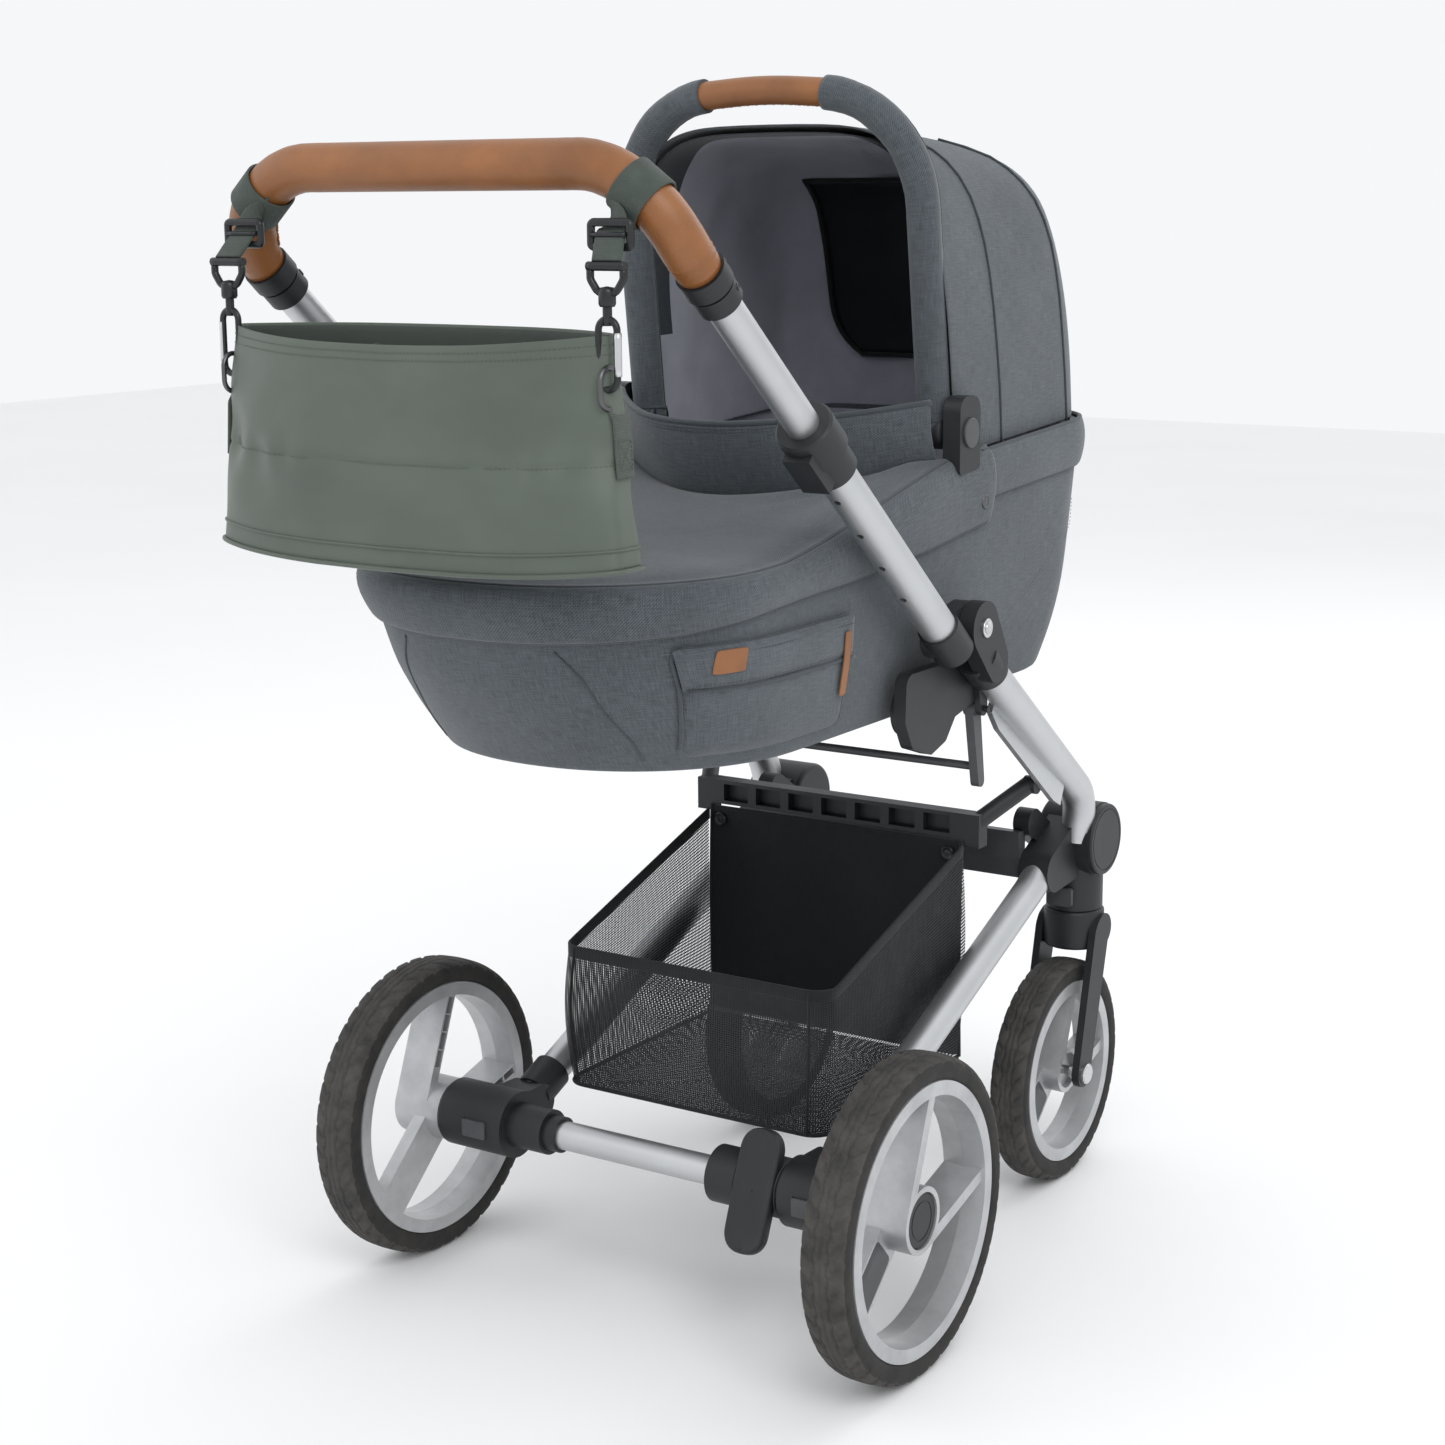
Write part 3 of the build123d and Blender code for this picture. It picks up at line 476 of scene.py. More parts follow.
def spaced(line, count):
    line = np.asarray(line, float)
    run = np.concatenate([[0], np.cumsum(np.linalg.norm(np.diff(line, axis=0), axis=1))])
    want = np.linspace(0, run[-1], count)
    return np.stack([np.interp(want, run, line[:, k]) for k in range(line.shape[1])], 1)


def route(points, radii, step=5.0):
    """A path with rounded corners, sampled every few millimetres."""
    points = [np.array(p, float) for p in points]
    line = [points[0]]
    for k in range(1, len(points) - 1):
        a = points[k - 1] - points[k]
        b = points[k + 1] - points[k]
        a, b = a / np.linalg.norm(a), b / np.linalg.norm(b)
        half = math.acos(max(-1, min(1, float(a @ b)))) / 2
        reach = radii[k - 1] / math.tan(half)
        bisector = (a + b) / np.linalg.norm(a + b)
        centre = points[k] + bisector * radii[k - 1] / math.sin(half)
        start = points[k] + a * reach - centre
        stop = points[k] + b * reach - centre
        turn = math.pi - 2 * half
        for t in np.linspace(0, 1, 13):
            mixed = (math.sin((1 - t) * turn) * start + math.sin(t * turn) * stop) / math.sin(turn)
            line.append(centre + mixed)
    line.append(points[-1])
    length = sum(np.linalg.norm(b - a) for a, b in zip(line, line[1:]))
    return spaced(line, max(4, int(length / step)))


def frames(path, up):
    """Tangent, side and upward directions along a path."""
    tangent = np.gradient(path, axis=0)
    tangent /= np.linalg.norm(tangent, axis=1)[:, None]
    up = np.broadcast_to(np.asarray(up, float), path.shape)
    side = np.cross(tangent, up)
    side /= np.linalg.norm(side, axis=1)[:, None]
    return tangent, side, np.cross(side, tangent)


def cap_ends(obj, count):
    """Closes a tube's two ends; count is the points in its section."""
    work = bmesh.new()
    work.from_mesh(obj.data)
    work.verts.ensure_lookup_table()
    total = len(work.verts)
    work.faces.new([work.verts[k] for k in range(count)])
    work.faces.new([work.verts[total - count + k] for k in reversed(range(count))])
    bmesh.ops.recalc_face_normals(work, faces=work.faces)
    work.to_mesh(obj.data)
    work.free()


def swept(name, path, profile, up, mats, scale=None, caps=True, closed=False):
    path = np.asarray(path, float)
    profile = np.asarray(profile, float)
    _, side, rise = frames(path, up)
    scale = np.ones(len(path)) if scale is None else scale
    points = [[p + (s * a + r * b) * k for a, b in profile]
              for p, s, r, k in zip(path, side, rise, scale)]
    obj = grid(name, points, mats, close_u=closed, close_v=True)
    if caps and not closed:
        cap_ends(obj, len(profile))
    return obj


def full_turn(count):
    return np.linspace(0, 2 * math.pi, count, endpoint=False)


def circle(radius, count=10):
    return [(radius * math.cos(a), radius * math.sin(a)) for a in full_turn(count)]


def flat_profile(width, depth, count=4):
    """A flat band with rounded edges."""
    w, d = width / 2, depth / 2
    points = []
    for cx, start in ((w - d, -90), (-(w - d), 90)):
        for a in np.linspace(start, start + 180, count):
            points.append((cx + d * math.cos(math.radians(a)), d * math.sin(math.radians(a))))
    return points


def cord_line(name, path, radius, mats, up=(0, 0.01, 1), sides=8, closed=False):
    return swept(name, path, circle(radius, sides), up, mats, caps=not closed, closed=closed)


def stitch_row(name, path, outward, mats, pitch=4.2, length=2.9, width=0.75, slant=0.0):
    """Separate stitches lying on a surface, each a short rounded bar."""
    path = np.asarray(path, float)
    run = np.linalg.norm(np.diff(path, axis=0), axis=1).sum()
    count = max(2, int(run / pitch))
    line = spaced(np.hstack([path, np.broadcast_to(np.asarray(outward, float), path.shape)]),
                  count * 2)
    points, faces = [], []
    for k in range(count):
        p, q, n = line[2 * k][:3], line[min(2 * k + 1, len(line) - 1)][:3], line[2 * k][3:]
        run_dir = q - p
        if np.linalg.norm(run_dir) < 1e-9:
            continue
        run_dir /= np.linalg.norm(run_dir)
        n = n / np.linalg.norm(n)
        across = np.cross(n, run_dir)
        tilt = slant if k % 2 else -slant
        along = run_dir * math.cos(tilt) + across * math.sin(tilt)
        across = np.cross(n, along)
        first = len(points)
        for s, w, h in ((-0.5, 0.25, 0.1), (-0.25, 1, 0.9), (0.25, 1, 0.9), (0.5, 0.25, 0.1)):
            for a in range(6):
                angle = a * math.pi / 3
                offset = across * math.cos(angle) * width / 2 * w + n * math.sin(angle) * width / 2 * w
                points.append(p + along * length * s + offset + n * width * 0.25 * h)
        for r in range(3):
            for a in range(6):
                b = (a + 1) % 6
                faces.append((first + r * 6 + a, first + r * 6 + b,
                              first + (r + 1) * 6 + b, first + (r + 1) * 6 + a))
        faces.append(tuple(first + a for a in reversed(range(6))))
        faces.append(tuple(first + 18 + a for a in range(6)))
    return finish_mesh(name, points, faces, mats)


def smoothstep(x):
    x = np.clip(x, 0, 1)
    return x * x * (3 - 2 * x)


def mirrored(points):
    points = np.array(points, float)
    points[..., 0] *= -1
    return points


def sided(points, sign):
    """The points for the right side, or their mirror image for the left."""
    return np.array(points, float) if sign > 0 else mirrored(points)


def whole(line):
    """A right half joined to its mirror image, back to the first point's side."""
    return np.concatenate([line, mirrored(line[::-1])[1:]])


def tag_of(sign):
    return "r" if sign > 0 else "l"


def on_body(obj, body="chassis"):
    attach(obj, body)
    return obj


# ---- tyres --------------------------------------------------------------------------
def tyre(side, axle, seat_node, repeats):
    node = f"{axle}_tyre_{side}"
    low, high = box_mm(node)
    centre = (low + high) / 2
    radius, half = (high[2] - low[2]) / 2, (high[0] - low[0]) / 2
    rim_low, rim_high = box_mm(seat_node)
    seat = (rim_high[2] - rim_low[2]) / 2
    outline = [(-0.88, seat - 0.3), (-0.97, seat + 3), (-1.0, seat + 9), (-0.985, radius - 9),
               (-0.88, radius - 3.4), (-0.62, radius - 0.9), (-0.3, radius - 0.2), (0, radius)]
    outline = [(x * half, r) for x, r in outline]
    outline += [(-x, r) for x, r in reversed(outline[:-1])]
    line = curve_through(outline, 53)
    turns = full_turn(repeats * 16)
    across = line[:, 0] / half
    phase = turns[:, None] * repeats / (2 * math.pi) + np.abs(across)[None] * 1.1
    phase += np.where(across > 0, 0.5, 0.0)[None]
    slot = np.abs((phase % 1.0) - 0.5)
    on_tread = smoothstep((np.abs(across) - 0.42) / 0.06) * smoothstep((0.97 - np.abs(across)) / 0.04)
    high_up = smoothstep((line[:, 1] - radius + 9) / 3)
    depth = smoothstep((slot - 0.36) / 0.06) * (on_tread * high_up)[None] * 1.6
    zig = 0.3 + 0.05 * np.sin(turns * repeats)
    for sign in (-1, 1):
        near = np.abs(across[None] - sign * zig[:, None])
        depth = np.maximum(depth, smoothstep((0.055 - near) / 0.025) * 1.5)
    depth = np.maximum(depth, smoothstep((0.03 - np.abs(across)) / 0.015)[None] * 1.0)
    points = np.zeros((len(turns), len(line), 3))
    reach = line[None, :, 1] - depth
    points[..., 0] = centre[0] + line[None, :, 0]
    points[..., 1] = centre[1] + reach * np.cos(turns)[:, None]
    points[..., 2] = centre[2] + reach * np.sin(turns)[:, None]
    wall = np.abs(across) > 0.93
    wall |= line[:, 1] < radius - 7
    obj = grid(node + "_tread", points, [TREAD, SIDEWALL], close_u=True,
               pick=lambda i, j: int(wall[j] and wall[j + 1]))
    on_body(obj, f"{axle}_wheel_{side}")
    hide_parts(node)


for SIDE in ("left", "right"):
    tyre(SIDE, "rear", f"rear_rim_{SIDE}", 44)
    tyre(SIDE, "front", f"front_rim_{SIDE}", 36)


def spoke_shade_plate(side, axle):
    """The recessed face of each rim's wide spoke, as a dark grey plate whose darkness is painted shade."""
    low, high = box_mm(f"{axle}_rim_{side}")
    tyre_low, tyre_high = box_mm(f"{axle}_tyre_{side}")
    centre = (tyre_low + tyre_high) / 2
    sign = 1 if side == "right" else -1
    seat = (high[2] - low[2]) / 2
    half = (tyre_high[0] - tyre_low[0]) / 2 - 1.5
    inner, outer = (33.0, seat - 19) if axle == "rear" else (26.0, seat - 18)
    face = centre[0] + sign * (-half + 15.1)
    angle = math.radians(222)
    half_width = 18.4
    along = np.array([0, math.cos(angle), math.sin(angle)])
    across = np.array([0, -math.sin(angle), math.cos(angle)])
    rows = []
    for t in np.linspace(0, 1, 12):
        reach = inner + (outer - inner) * t
        row = []
        for s in np.linspace(-1, 1, 9):
            raised = 1.6 * min(1, (1 - abs(s)) * 6) * min(1, min(t, 1 - t) * 14)
            spot = np.array([face, centre[1], centre[2]]) + along * reach + across * s * half_width
            spot[0] += sign * (raised - 0.4)
            row.append(spot)
        rows.append(row)
    # painted shade: the dark grey plate stands for the shade in the wide spoke's recess
    obj = soften(tidy(grid(f"{axle}_spoke_shade_plate_{side}", rows, [GREY]), normals=False))
    on_body(obj, f"{axle}_wheel_{side}")


for SIDE in ("left", "right"):
    spoke_shade_plate(SIDE, "rear")
    spoke_shade_plate(SIDE, "front")


# ---- handle grip --------------------------------------------------------------------
TUBE_RADIUS = 17
TUBE_X = box_mm("outer_tubes")[1][0] - TUBE_RADIUS
FOLD = next(j for j in frame["joints"] if j["name"] == "handle_fold")["pos_m"]
SLIDE = Vector(next(j for j in frame["joints"] if j["name"] == "handle_slide")["axis"])
ALONG = np.array(SLIDE)
ACROSS = np.array([0, ALONG[2], -ALONG[1]])
FOLD_POINT = mm(Vector(FOLD))
FOOT = np.array([TUBE_X, FOLD_POINT[1], FOLD_POINT[2]]) - ALONG * 19 - ACROSS * 34


def tube_point(distance, x=None):
    point = FOOT + ALONG * distance
    return np.array([TUBE_X if x is None else x, point[1], point[2]])


def handle_route(first):
    right = [tube_point(first), tube_point(592), np.array([208, -267, 1025.0]),
             np.array([163, -274, 1061.0])]
    left = [p * np.array([-1, 1, 1]) for p in reversed(right)]
    return right + left


HANDLE_RADII = [50, 60, 80, 80, 60, 50]


def handle_grip():
    path = route(handle_route(577.3), HANDLE_RADII, 5)
    run = np.linspace(0, 1, len(path))
    ends = np.minimum(run, 1 - run) * 40
    scale = 0.93 + 0.07 * smoothstep(ends)
    scale = scale + 0.004 * np.sin(run * 260) * (np.abs(path[:, 0]) > 120)
    grip = swept("grip_leather", path, circle(19.6, 28), (0, -0.6, 0.8), [LEATHER], scale)
    on_body(grip, "handle")
    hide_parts("handle_grip")
    _, side, rise = frames(path, (0, -0.6, 0.8))
    under = path - rise * 18.9 + side * 5.0
    seam = cord_line("grip_seam", under[4:-4], 1.0, [LEATHER])
    on_body(seam, "handle")
    out = (-rise * 0.97 + side * 0.26)[4:-4]
    lace = stitch_row("grip_lacing", under[4:-4] + out * 0.7, out, [THREAD], 5.2, 8.5, 1.5, 0.9)
    on_body(lace, "handle")


handle_grip()


def collar_rivets():
    """The screws on the two rings of each grip collar."""
    for sign in (-1, 1):
        for distance, turn in ((549, 0.4), (549, 2.2), (568, 0.9)):
            reach = 19.0 if distance < 560 else 20.5
            centre = tube_point(distance)
            out = np.array([math.cos(turn), 0, 0]) + ACROSS * math.sin(turn)
            ring = []
            side = np.cross(out, ALONG)
            for radius, lift in ((3.4, -0.2), (3.2, 0.7), (2.5, 1.0), (1.6, 0.3), (0.2, 0.2)):
                ring.append([centre + out * (reach + lift)
                             + (ALONG * math.cos(a) + side * math.sin(a)) * radius
                             for a in full_turn(14)])
            points = np.array(ring)
            points[..., 0] *= sign
            name = f"collar_screw_{tag_of(sign)}_{distance}_{int(turn * 10)}"
            on_body(grid(name, points, [BLACK_SMOOTH], close_v=True), "handle")


collar_rivets()


# ---- cot shape ----------------------------------------------------------------------
COT_HALF = COT_HIGH[0]
LEVELS = np.array([560.0, 600, 640, 690, 735, 780, 830])
SIDE_IN = np.array([-22.0, -14.5, -8, -4.6, -2, -0.6, 0]) + COT_HALF
FOOT_IN = np.array([106.0, 72, 44, 25, 10, 3, 0]) + COT_LOW[1] + 30.0
HEAD_OUT = 28.0
HEAD_IN = np.array([-50.0, -33, -22, -16.5, -12, -5, 0]) + COT_HIGH[1] + HEAD_OUT
RIM_Y = np.array([-420.0, -110, -60, 0, 60, 90, 150, 240, 320, 560])
RIM_Z = np.array([727.0, 727, 728.5, 738, 751, 758, 773, 793, 799, 815])


def rim_z(y):
    return np.interp(y, RIM_Y, RIM_Z)


def smooth_level(z, values):
    return np.interp(z, np.linspace(560, 830, 109), CURVES[id(values)])


def level_curve(values):
    fine = np.linspace(560, 830, 109)
    raw = np.interp(fine, LEVELS, values)
    for _ in range(8):
        raw[1:-1] = (raw[:-2] + 2 * raw[1:-1] + raw[2:]) / 4
    return raw


CURVES = {id(values): level_curve(values) for values in (SIDE_IN, FOOT_IN, HEAD_IN)}


def outline(z, grow=0.0, foot_run=180.0, head_run=84.0):
    """The closed outline at a height, counted the same way at every height."""
    half = smooth_level(z, SIDE_IN) + grow
    foot = smooth_level(z, FOOT_IN) - grow
    head = smooth_level(z, HEAD_IN) + grow
    foot_run = min(foot_run + grow, half - 2)
    head_run = min(head_run + grow, half - 2)
    p, q = 2.1, 3.2
    right = [(0.0, foot), ((half - foot_run) * 0.5, foot)]
    for a in np.linspace(0, math.pi / 2, 25):
        x = half - foot_run + foot_run * math.sin(a) ** (2 / p)
        y = foot + foot_run - foot_run * math.cos(a) ** (2 / p)
        right.append((x, y))
    for t in np.linspace(0, 1, 17)[1:-1]:
        right.append((half, foot + foot_run + (head - head_run - foot - foot_run) * t))
    for a in np.linspace(0, math.pi / 2, 21):
        x = half - head_run + head_run * math.cos(a) ** (2 / q)
        y = head - head_run + head_run * math.sin(a) ** (2 / q)
        right.append((x, y))
    right += [((half - head_run) * 0.5, head), (0.0, head)]
    left = [(-x, y) for x, y in reversed(right[1:-1])]
    return np.array(right + left)


RIGHT_COUNT = 2 + 25 + 15 + 21 + 2
OUTLINE_COUNT = 2 * RIGHT_COUNT - 2


def cot_side(y, z, grow=0.0):
    """The cot's right-hand face at a length and a height."""
    line = outline(z, grow)[:RIGHT_COUNT]
    order = np.argsort(line[:, 1], kind="stable")
    x = np.interp(y, line[order, 1], line[order, 0])
    return np.array([x, y, z])


def cot_rings(heights, grow):
    """Rings at several heights, cached by height for speed."""
    base = outline(735.0, grow)
    table = {}

    def place(k, z):
        key = round(float(z), 1)
        if key not in table:
            table[key] = outline(key, grow)
        return (*table[key][k], z)

    return np.array([[place(k, height(base[k][1])) for k in range(OUTLINE_COUNT)]
                     for height in heights])


def cot_body():
    floor = COT_LOW[2]
    rows = []
    base = outline(floor + 3)
    centre = np.array([0.0, 100.0])
    for share, z in ((0.02, floor + 1), (0.5, floor + 1), (0.9, floor), (0.975, floor + 0.6)):
        flat = centre + (base - centre) * share
        rows.append(np.column_stack([flat, np.full(len(flat), z)]))
    shares = (0.012, 0.04, 0.09, 0.16, 0.25, 0.36, 0.48, 0.6, 0.72, 0.83, 0.92, 0.97)
    heights = [lambda y, s=s: floor + (rim_z(y) - floor) * s for s in shares]
    outer = cot_rings(heights, 0.0)
    belly = np.sin(np.linspace(0.1, 1, len(shares)) * math.pi) * 1.6
    for ring, puff in zip(outer, belly):
        out = ring.copy()
        out[:, 0] *= 1 + puff / 190
        rows.append(out)
    top = [(0.4, -1.5), (-3.0, 0.8), (-6.0, 0.8), (-8.8, -1.5)]
    for grow, lift in top:
        rows.append(cot_rings([lambda y, q=lift: rim_z(y) + q], grow)[0])
    for drop in (20.0, 60.0, 110.0):
        rows.append(cot_rings([lambda y, q=drop: rim_z(y) - q], -10.5)[0])
    inner = cot_rings([lambda y: floor + 26.0], -11.0)[0]
    rows.append(inner)
    for share in (0.5, 0.02):
        flat = inner.copy()
        flat[:, :2] = centre + (inner[:, :2] - centre) * share
        rows.append(flat)
    points = np.array(rows).transpose(1, 0, 2)
    lining_from = 4 + len(shares) + 3
    obj = grid("cot_shell", points, [TWILL, LINING], close_u=True,
               pick=lambda i, j: int(j >= lining_from))
    soften(tidy(obj, 0.0004))
    on_body(obj)
    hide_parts("cot_body")


cot_body()


# ---- apron --------------------------------------------------------------------------
HEM_Y = np.array([-400.0, -329, -290, -196, -100, 0, 94, 200, 295, 420])
HEM_Z = np.array([682.0, 682, 683, 689, 700, 705, 709, 719, 731, 745])


def hem_z(y):
    return np.interp(y, HEM_Y, HEM_Z)


APRON_END = 300.0
FLAP_FOOT = 235.0


def flap_base(x):
    share = (abs(x) / 178) ** 2
    return np.array([x, 125 + (FLAP_FOOT - 125) * share, 761 + 28 * share])


def apron_line(grow, height):
    """The apron's right half at a height, from its head end round to the foot's middle."""
    ring = cot_rings([height], grow)[0][:RIGHT_COUNT]
    ring = ring[ring[:, 1] <= APRON_END - 1]
    ring = ring[::-1]
    end = cot_side(APRON_END, height(APRON_END), grow)
    return spaced(np.vstack([end, ring]), 88)


def apron():
    rows = []
    for grow, share in ((3.6, 0.0), (5.2, 0.12), (8.0, 0.38), (8.6, 0.6), (7.0, 0.82), (3.5, 0.97)):
        height = lambda y, s=share: hem_z(y) + (rim_z(y) + 1.0 - hem_z(y)) * s
        line = apron_line(grow, height)
        line[:, 0] += 0.5 * np.sin(line[:, 1] / 21.0)
        rows.append(line)
    ridge = apron_line(-2.5, lambda y: rim_z(y) + 3.6)
    rows.append(ridge)
    right = np.array(rows)
    both = np.concatenate([right, mirrored(right[:, ::-1])[:, 1:]], axis=1)
    skirt = both.transpose(1, 0, 2)
    obj = grid("apron_skirt", skirt, [TWILL])
    soften(thick(obj, 3.0, -1.0))
    on_body(obj)
    cut(obj)
    # the flat top, from the ridge in to its middle
    keep = ridge[ridge[:, 1] <= FLAP_FOOT]
    start = cot_side(FLAP_FOOT, rim_z(FLAP_FOOT) + 3.6, -2.5)
    side = spaced(np.vstack([start, keep]), 60)
    edge = whole(side)
    span = np.linspace(-start[0], start[0], 41)
    chord = np.array([flap_base(x) for x in span])
    chord[0], chord[-1] = edge[-1], edge[0]
    loop = np.concatenate([edge, chord[1:-1]])
    centre = np.array([0.0, -70.0, 0.0])
    rings = []
    for share in (1.0, 0.975, 0.94, 0.88, 0.78, 0.66, 0.52, 0.38, 0.24, 0.12, 0.0):
        ring = loop.copy()
        ring[:, :2] = centre[:2] + (loop[:, :2] - centre[:2]) * share
        base = 727 + np.interp(ring[:, 1], [-330, -90, 0, 60, 130, 235], [0, 1, 7, 19, 33, 60])
        if share == 1.0:
            ring[:, 2] = loop[:, 2]
        else:
            fade = smoothstep((1 - share) / 0.35)
            hollow = -3.2 * math.sin(min(1.0, (1 - share) / 0.12) * math.pi) if share > 0.88 else 0.0
            crown = 11.0 * (1 - share ** 3)
            ring[:, 2] = loop[:, 2] * (1 - fade) + base * fade + crown + hollow
            wave = np.sin(ring[:, 0] / 41 + ring[:, 1] / 67) * np.sin(ring[:, 1] / 53 - 1.0)
            ring[:, 2] += 2.2 * wave * fade
        rings.append(ring)
    points = np.array(rings).transpose(1, 0, 2)
    top = grid("apron_top", points, [TWILL], close_u=True)
    tidy(top, 0.001)
    soften(thick(top, 3.0, 1.0))
    on_body(top)
    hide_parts("cot_apron")
    cut(top)
    pipe = whole(ridge) + np.array([0, 0, 0.6])
    on_body(cord_line("apron_ridge", pipe, 1.9, [PIPING]))
    on_body(cord_line("apron_hem", both[0], 2.1, [PIPING]))
    for name, level in (("apron_stitch_low", 1), ("apron_stitch_high", 4)):
        out = np.stack([skirt[:, level, 0], skirt[:, level, 1] - 60, skirt[:, level, 2] * 0], 1)
        out[np.abs(skirt[:, level, 0]) > 150, 1] = 0
        out /= np.linalg.norm(out, axis=1)[:, None]
        row = stitch_row(name, skirt[:, level] + out * 0.2, out, [GREY_THREAD], 4.6, 2.9, 0.8)
        on_body(row)
    for sign in (1, -1):
        spot = cot_side(279, 752, 9.5) * np.array([sign, 1, 1])
        dome(f"apron_snap_{tag_of(sign)}", spot, (sign, 0, 0), 7.0, 2.8, [GUNMETAL], "chassis")


def sheet_area(obj):
    """A sheet's area in square metres: all its faces, one layer, before it is thickened."""
    work = bmesh.new()
    work.from_mesh(obj.data)
    total = sum(face.calc_area() for face in work.faces)
    work.free()
    return total


def cut(obj):
    """Works out a sheet's area, which nothing uses, and returns the sheet."""
    area = sheet_area(obj)
    return obj


def dome(name, spot, out, radius, height, mats, body, count=20):
    """A press stud or rivet head with a rolled edge and a dimple."""
    out = np.asarray(out, float)
    out /= np.linalg.norm(out)
    side = np.cross(out, (0.3, 0.2, 0.9))
    side /= np.linalg.norm(side)
    up = np.cross(out, side)
    rings = []
    for share, lift in ((1.0, -0.3), (1.03, 0.3), (0.96, 0.75), (0.78, 0.8), (0.7, 0.45),
                        (0.4, 0.62), (0.02, 0.66)):
        rings.append([np.asarray(spot) + out * height * lift
                      + (side * math.cos(a) + up * math.sin(a)) * radius * share
                      for a in full_turn(count)])
    obj = grid(name, rings, mats, close_v=True)
    tidy(obj, 0.0004)
    return on_body(obj, body)


apron()


# ---- wind flap ----------------------------------------------------------------------
def wind_flap():
    span = np.linspace(-1, 1, 61)
    columns = []
    for s in span:
        x = 177 * s
        low = flap_base(x * 0.985)
        low[2] -= 3
        high = np.array([174 * s, 94 + 122 * s ** 2, 831 + 17 * s ** 2])
        column = []
        for t in (0.0, 0.08, 0.2, 0.36, 0.52, 0.68, 0.82, 0.93, 1.0):
            bow = math.sin(t * math.pi) * -5.0
            point = low + (high - low) * t + np.array([0, bow, 0])
            point[1] += 1.4 * math.sin(s * 9 + t * 2)
            column.append(point)
        columns.append(column)
    points = np.array(columns)
    obj = grid("wind_flap_sheet", points, [TWILL])
    soften(thick(obj, 5.0, 0.0))
    on_body(obj)
    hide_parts("wind_flap")
    cut(obj)
    on_body(cord_line("flap_edge", points[:, -1], 3.0, [PIPING]))
    for row, name in ((7, "flap_stitch_a"), (6, "flap_stitch_b")):
        for sign in (-1, 1):
            line = points[:, row] + np.array([0, 2.7 * sign, 0])
            if row == 6:
                line = line * 0.35 + (points[:, 7] + np.array([0, 2.7 * sign, 0])) * 0.65
            stitches = stitch_row(f"{name}_{'f' if sign > 0 else 'b'}", line, (0, sign, 0.05),
                                  [GREY_THREAD], 4.4, 2.8, 0.75)
            on_body(stitches)


wind_flap()


# ---- mattress, pocket and seams -----------------------------------------------------
def mattress():
    rows = []
    centre = np.array([0.0, 100.0])
    for grow, z in ((-40, 586.8), (-16, 587.2), (-12.4, 593), (-12.0, 602), (-14, 611), (-24, 616)):
        flat = outline(600.0, grow)
        rows.append(np.column_stack([flat, np.full(len(flat), z)]))
    top = outline(600.0, -24.0)
    for share in (0.86, 0.66, 0.42, 0.2, 0.02):
        flat = centre + (top - centre) * share
        z = 616 + 2.5 * (1 - share) + 1.2 * np.sin(flat[:, 0] / 22) * np.sin(flat[:, 1] / 25)
        rows.append(np.column_stack([flat, z]))
    bottom = [np.column_stack([centre + (outline(600.0, -40.0) - centre) * 0.02,
                               np.full(OUTLINE_COUNT, 586.8)])]
    points = np.array(bottom + rows).transpose(1, 0, 2)
    obj = grid("mattress_pad", points, [LINING], close_u=True)
    soften(tidy(obj, 0.0004))
    on_body(obj, "chassis")
    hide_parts("mattress")


mattress()


def on_cot(path, lift):
    """Lays a list of (y, z) on the cot's right face."""
    return np.array([cot_side(y, z, lift) for y, z in path])


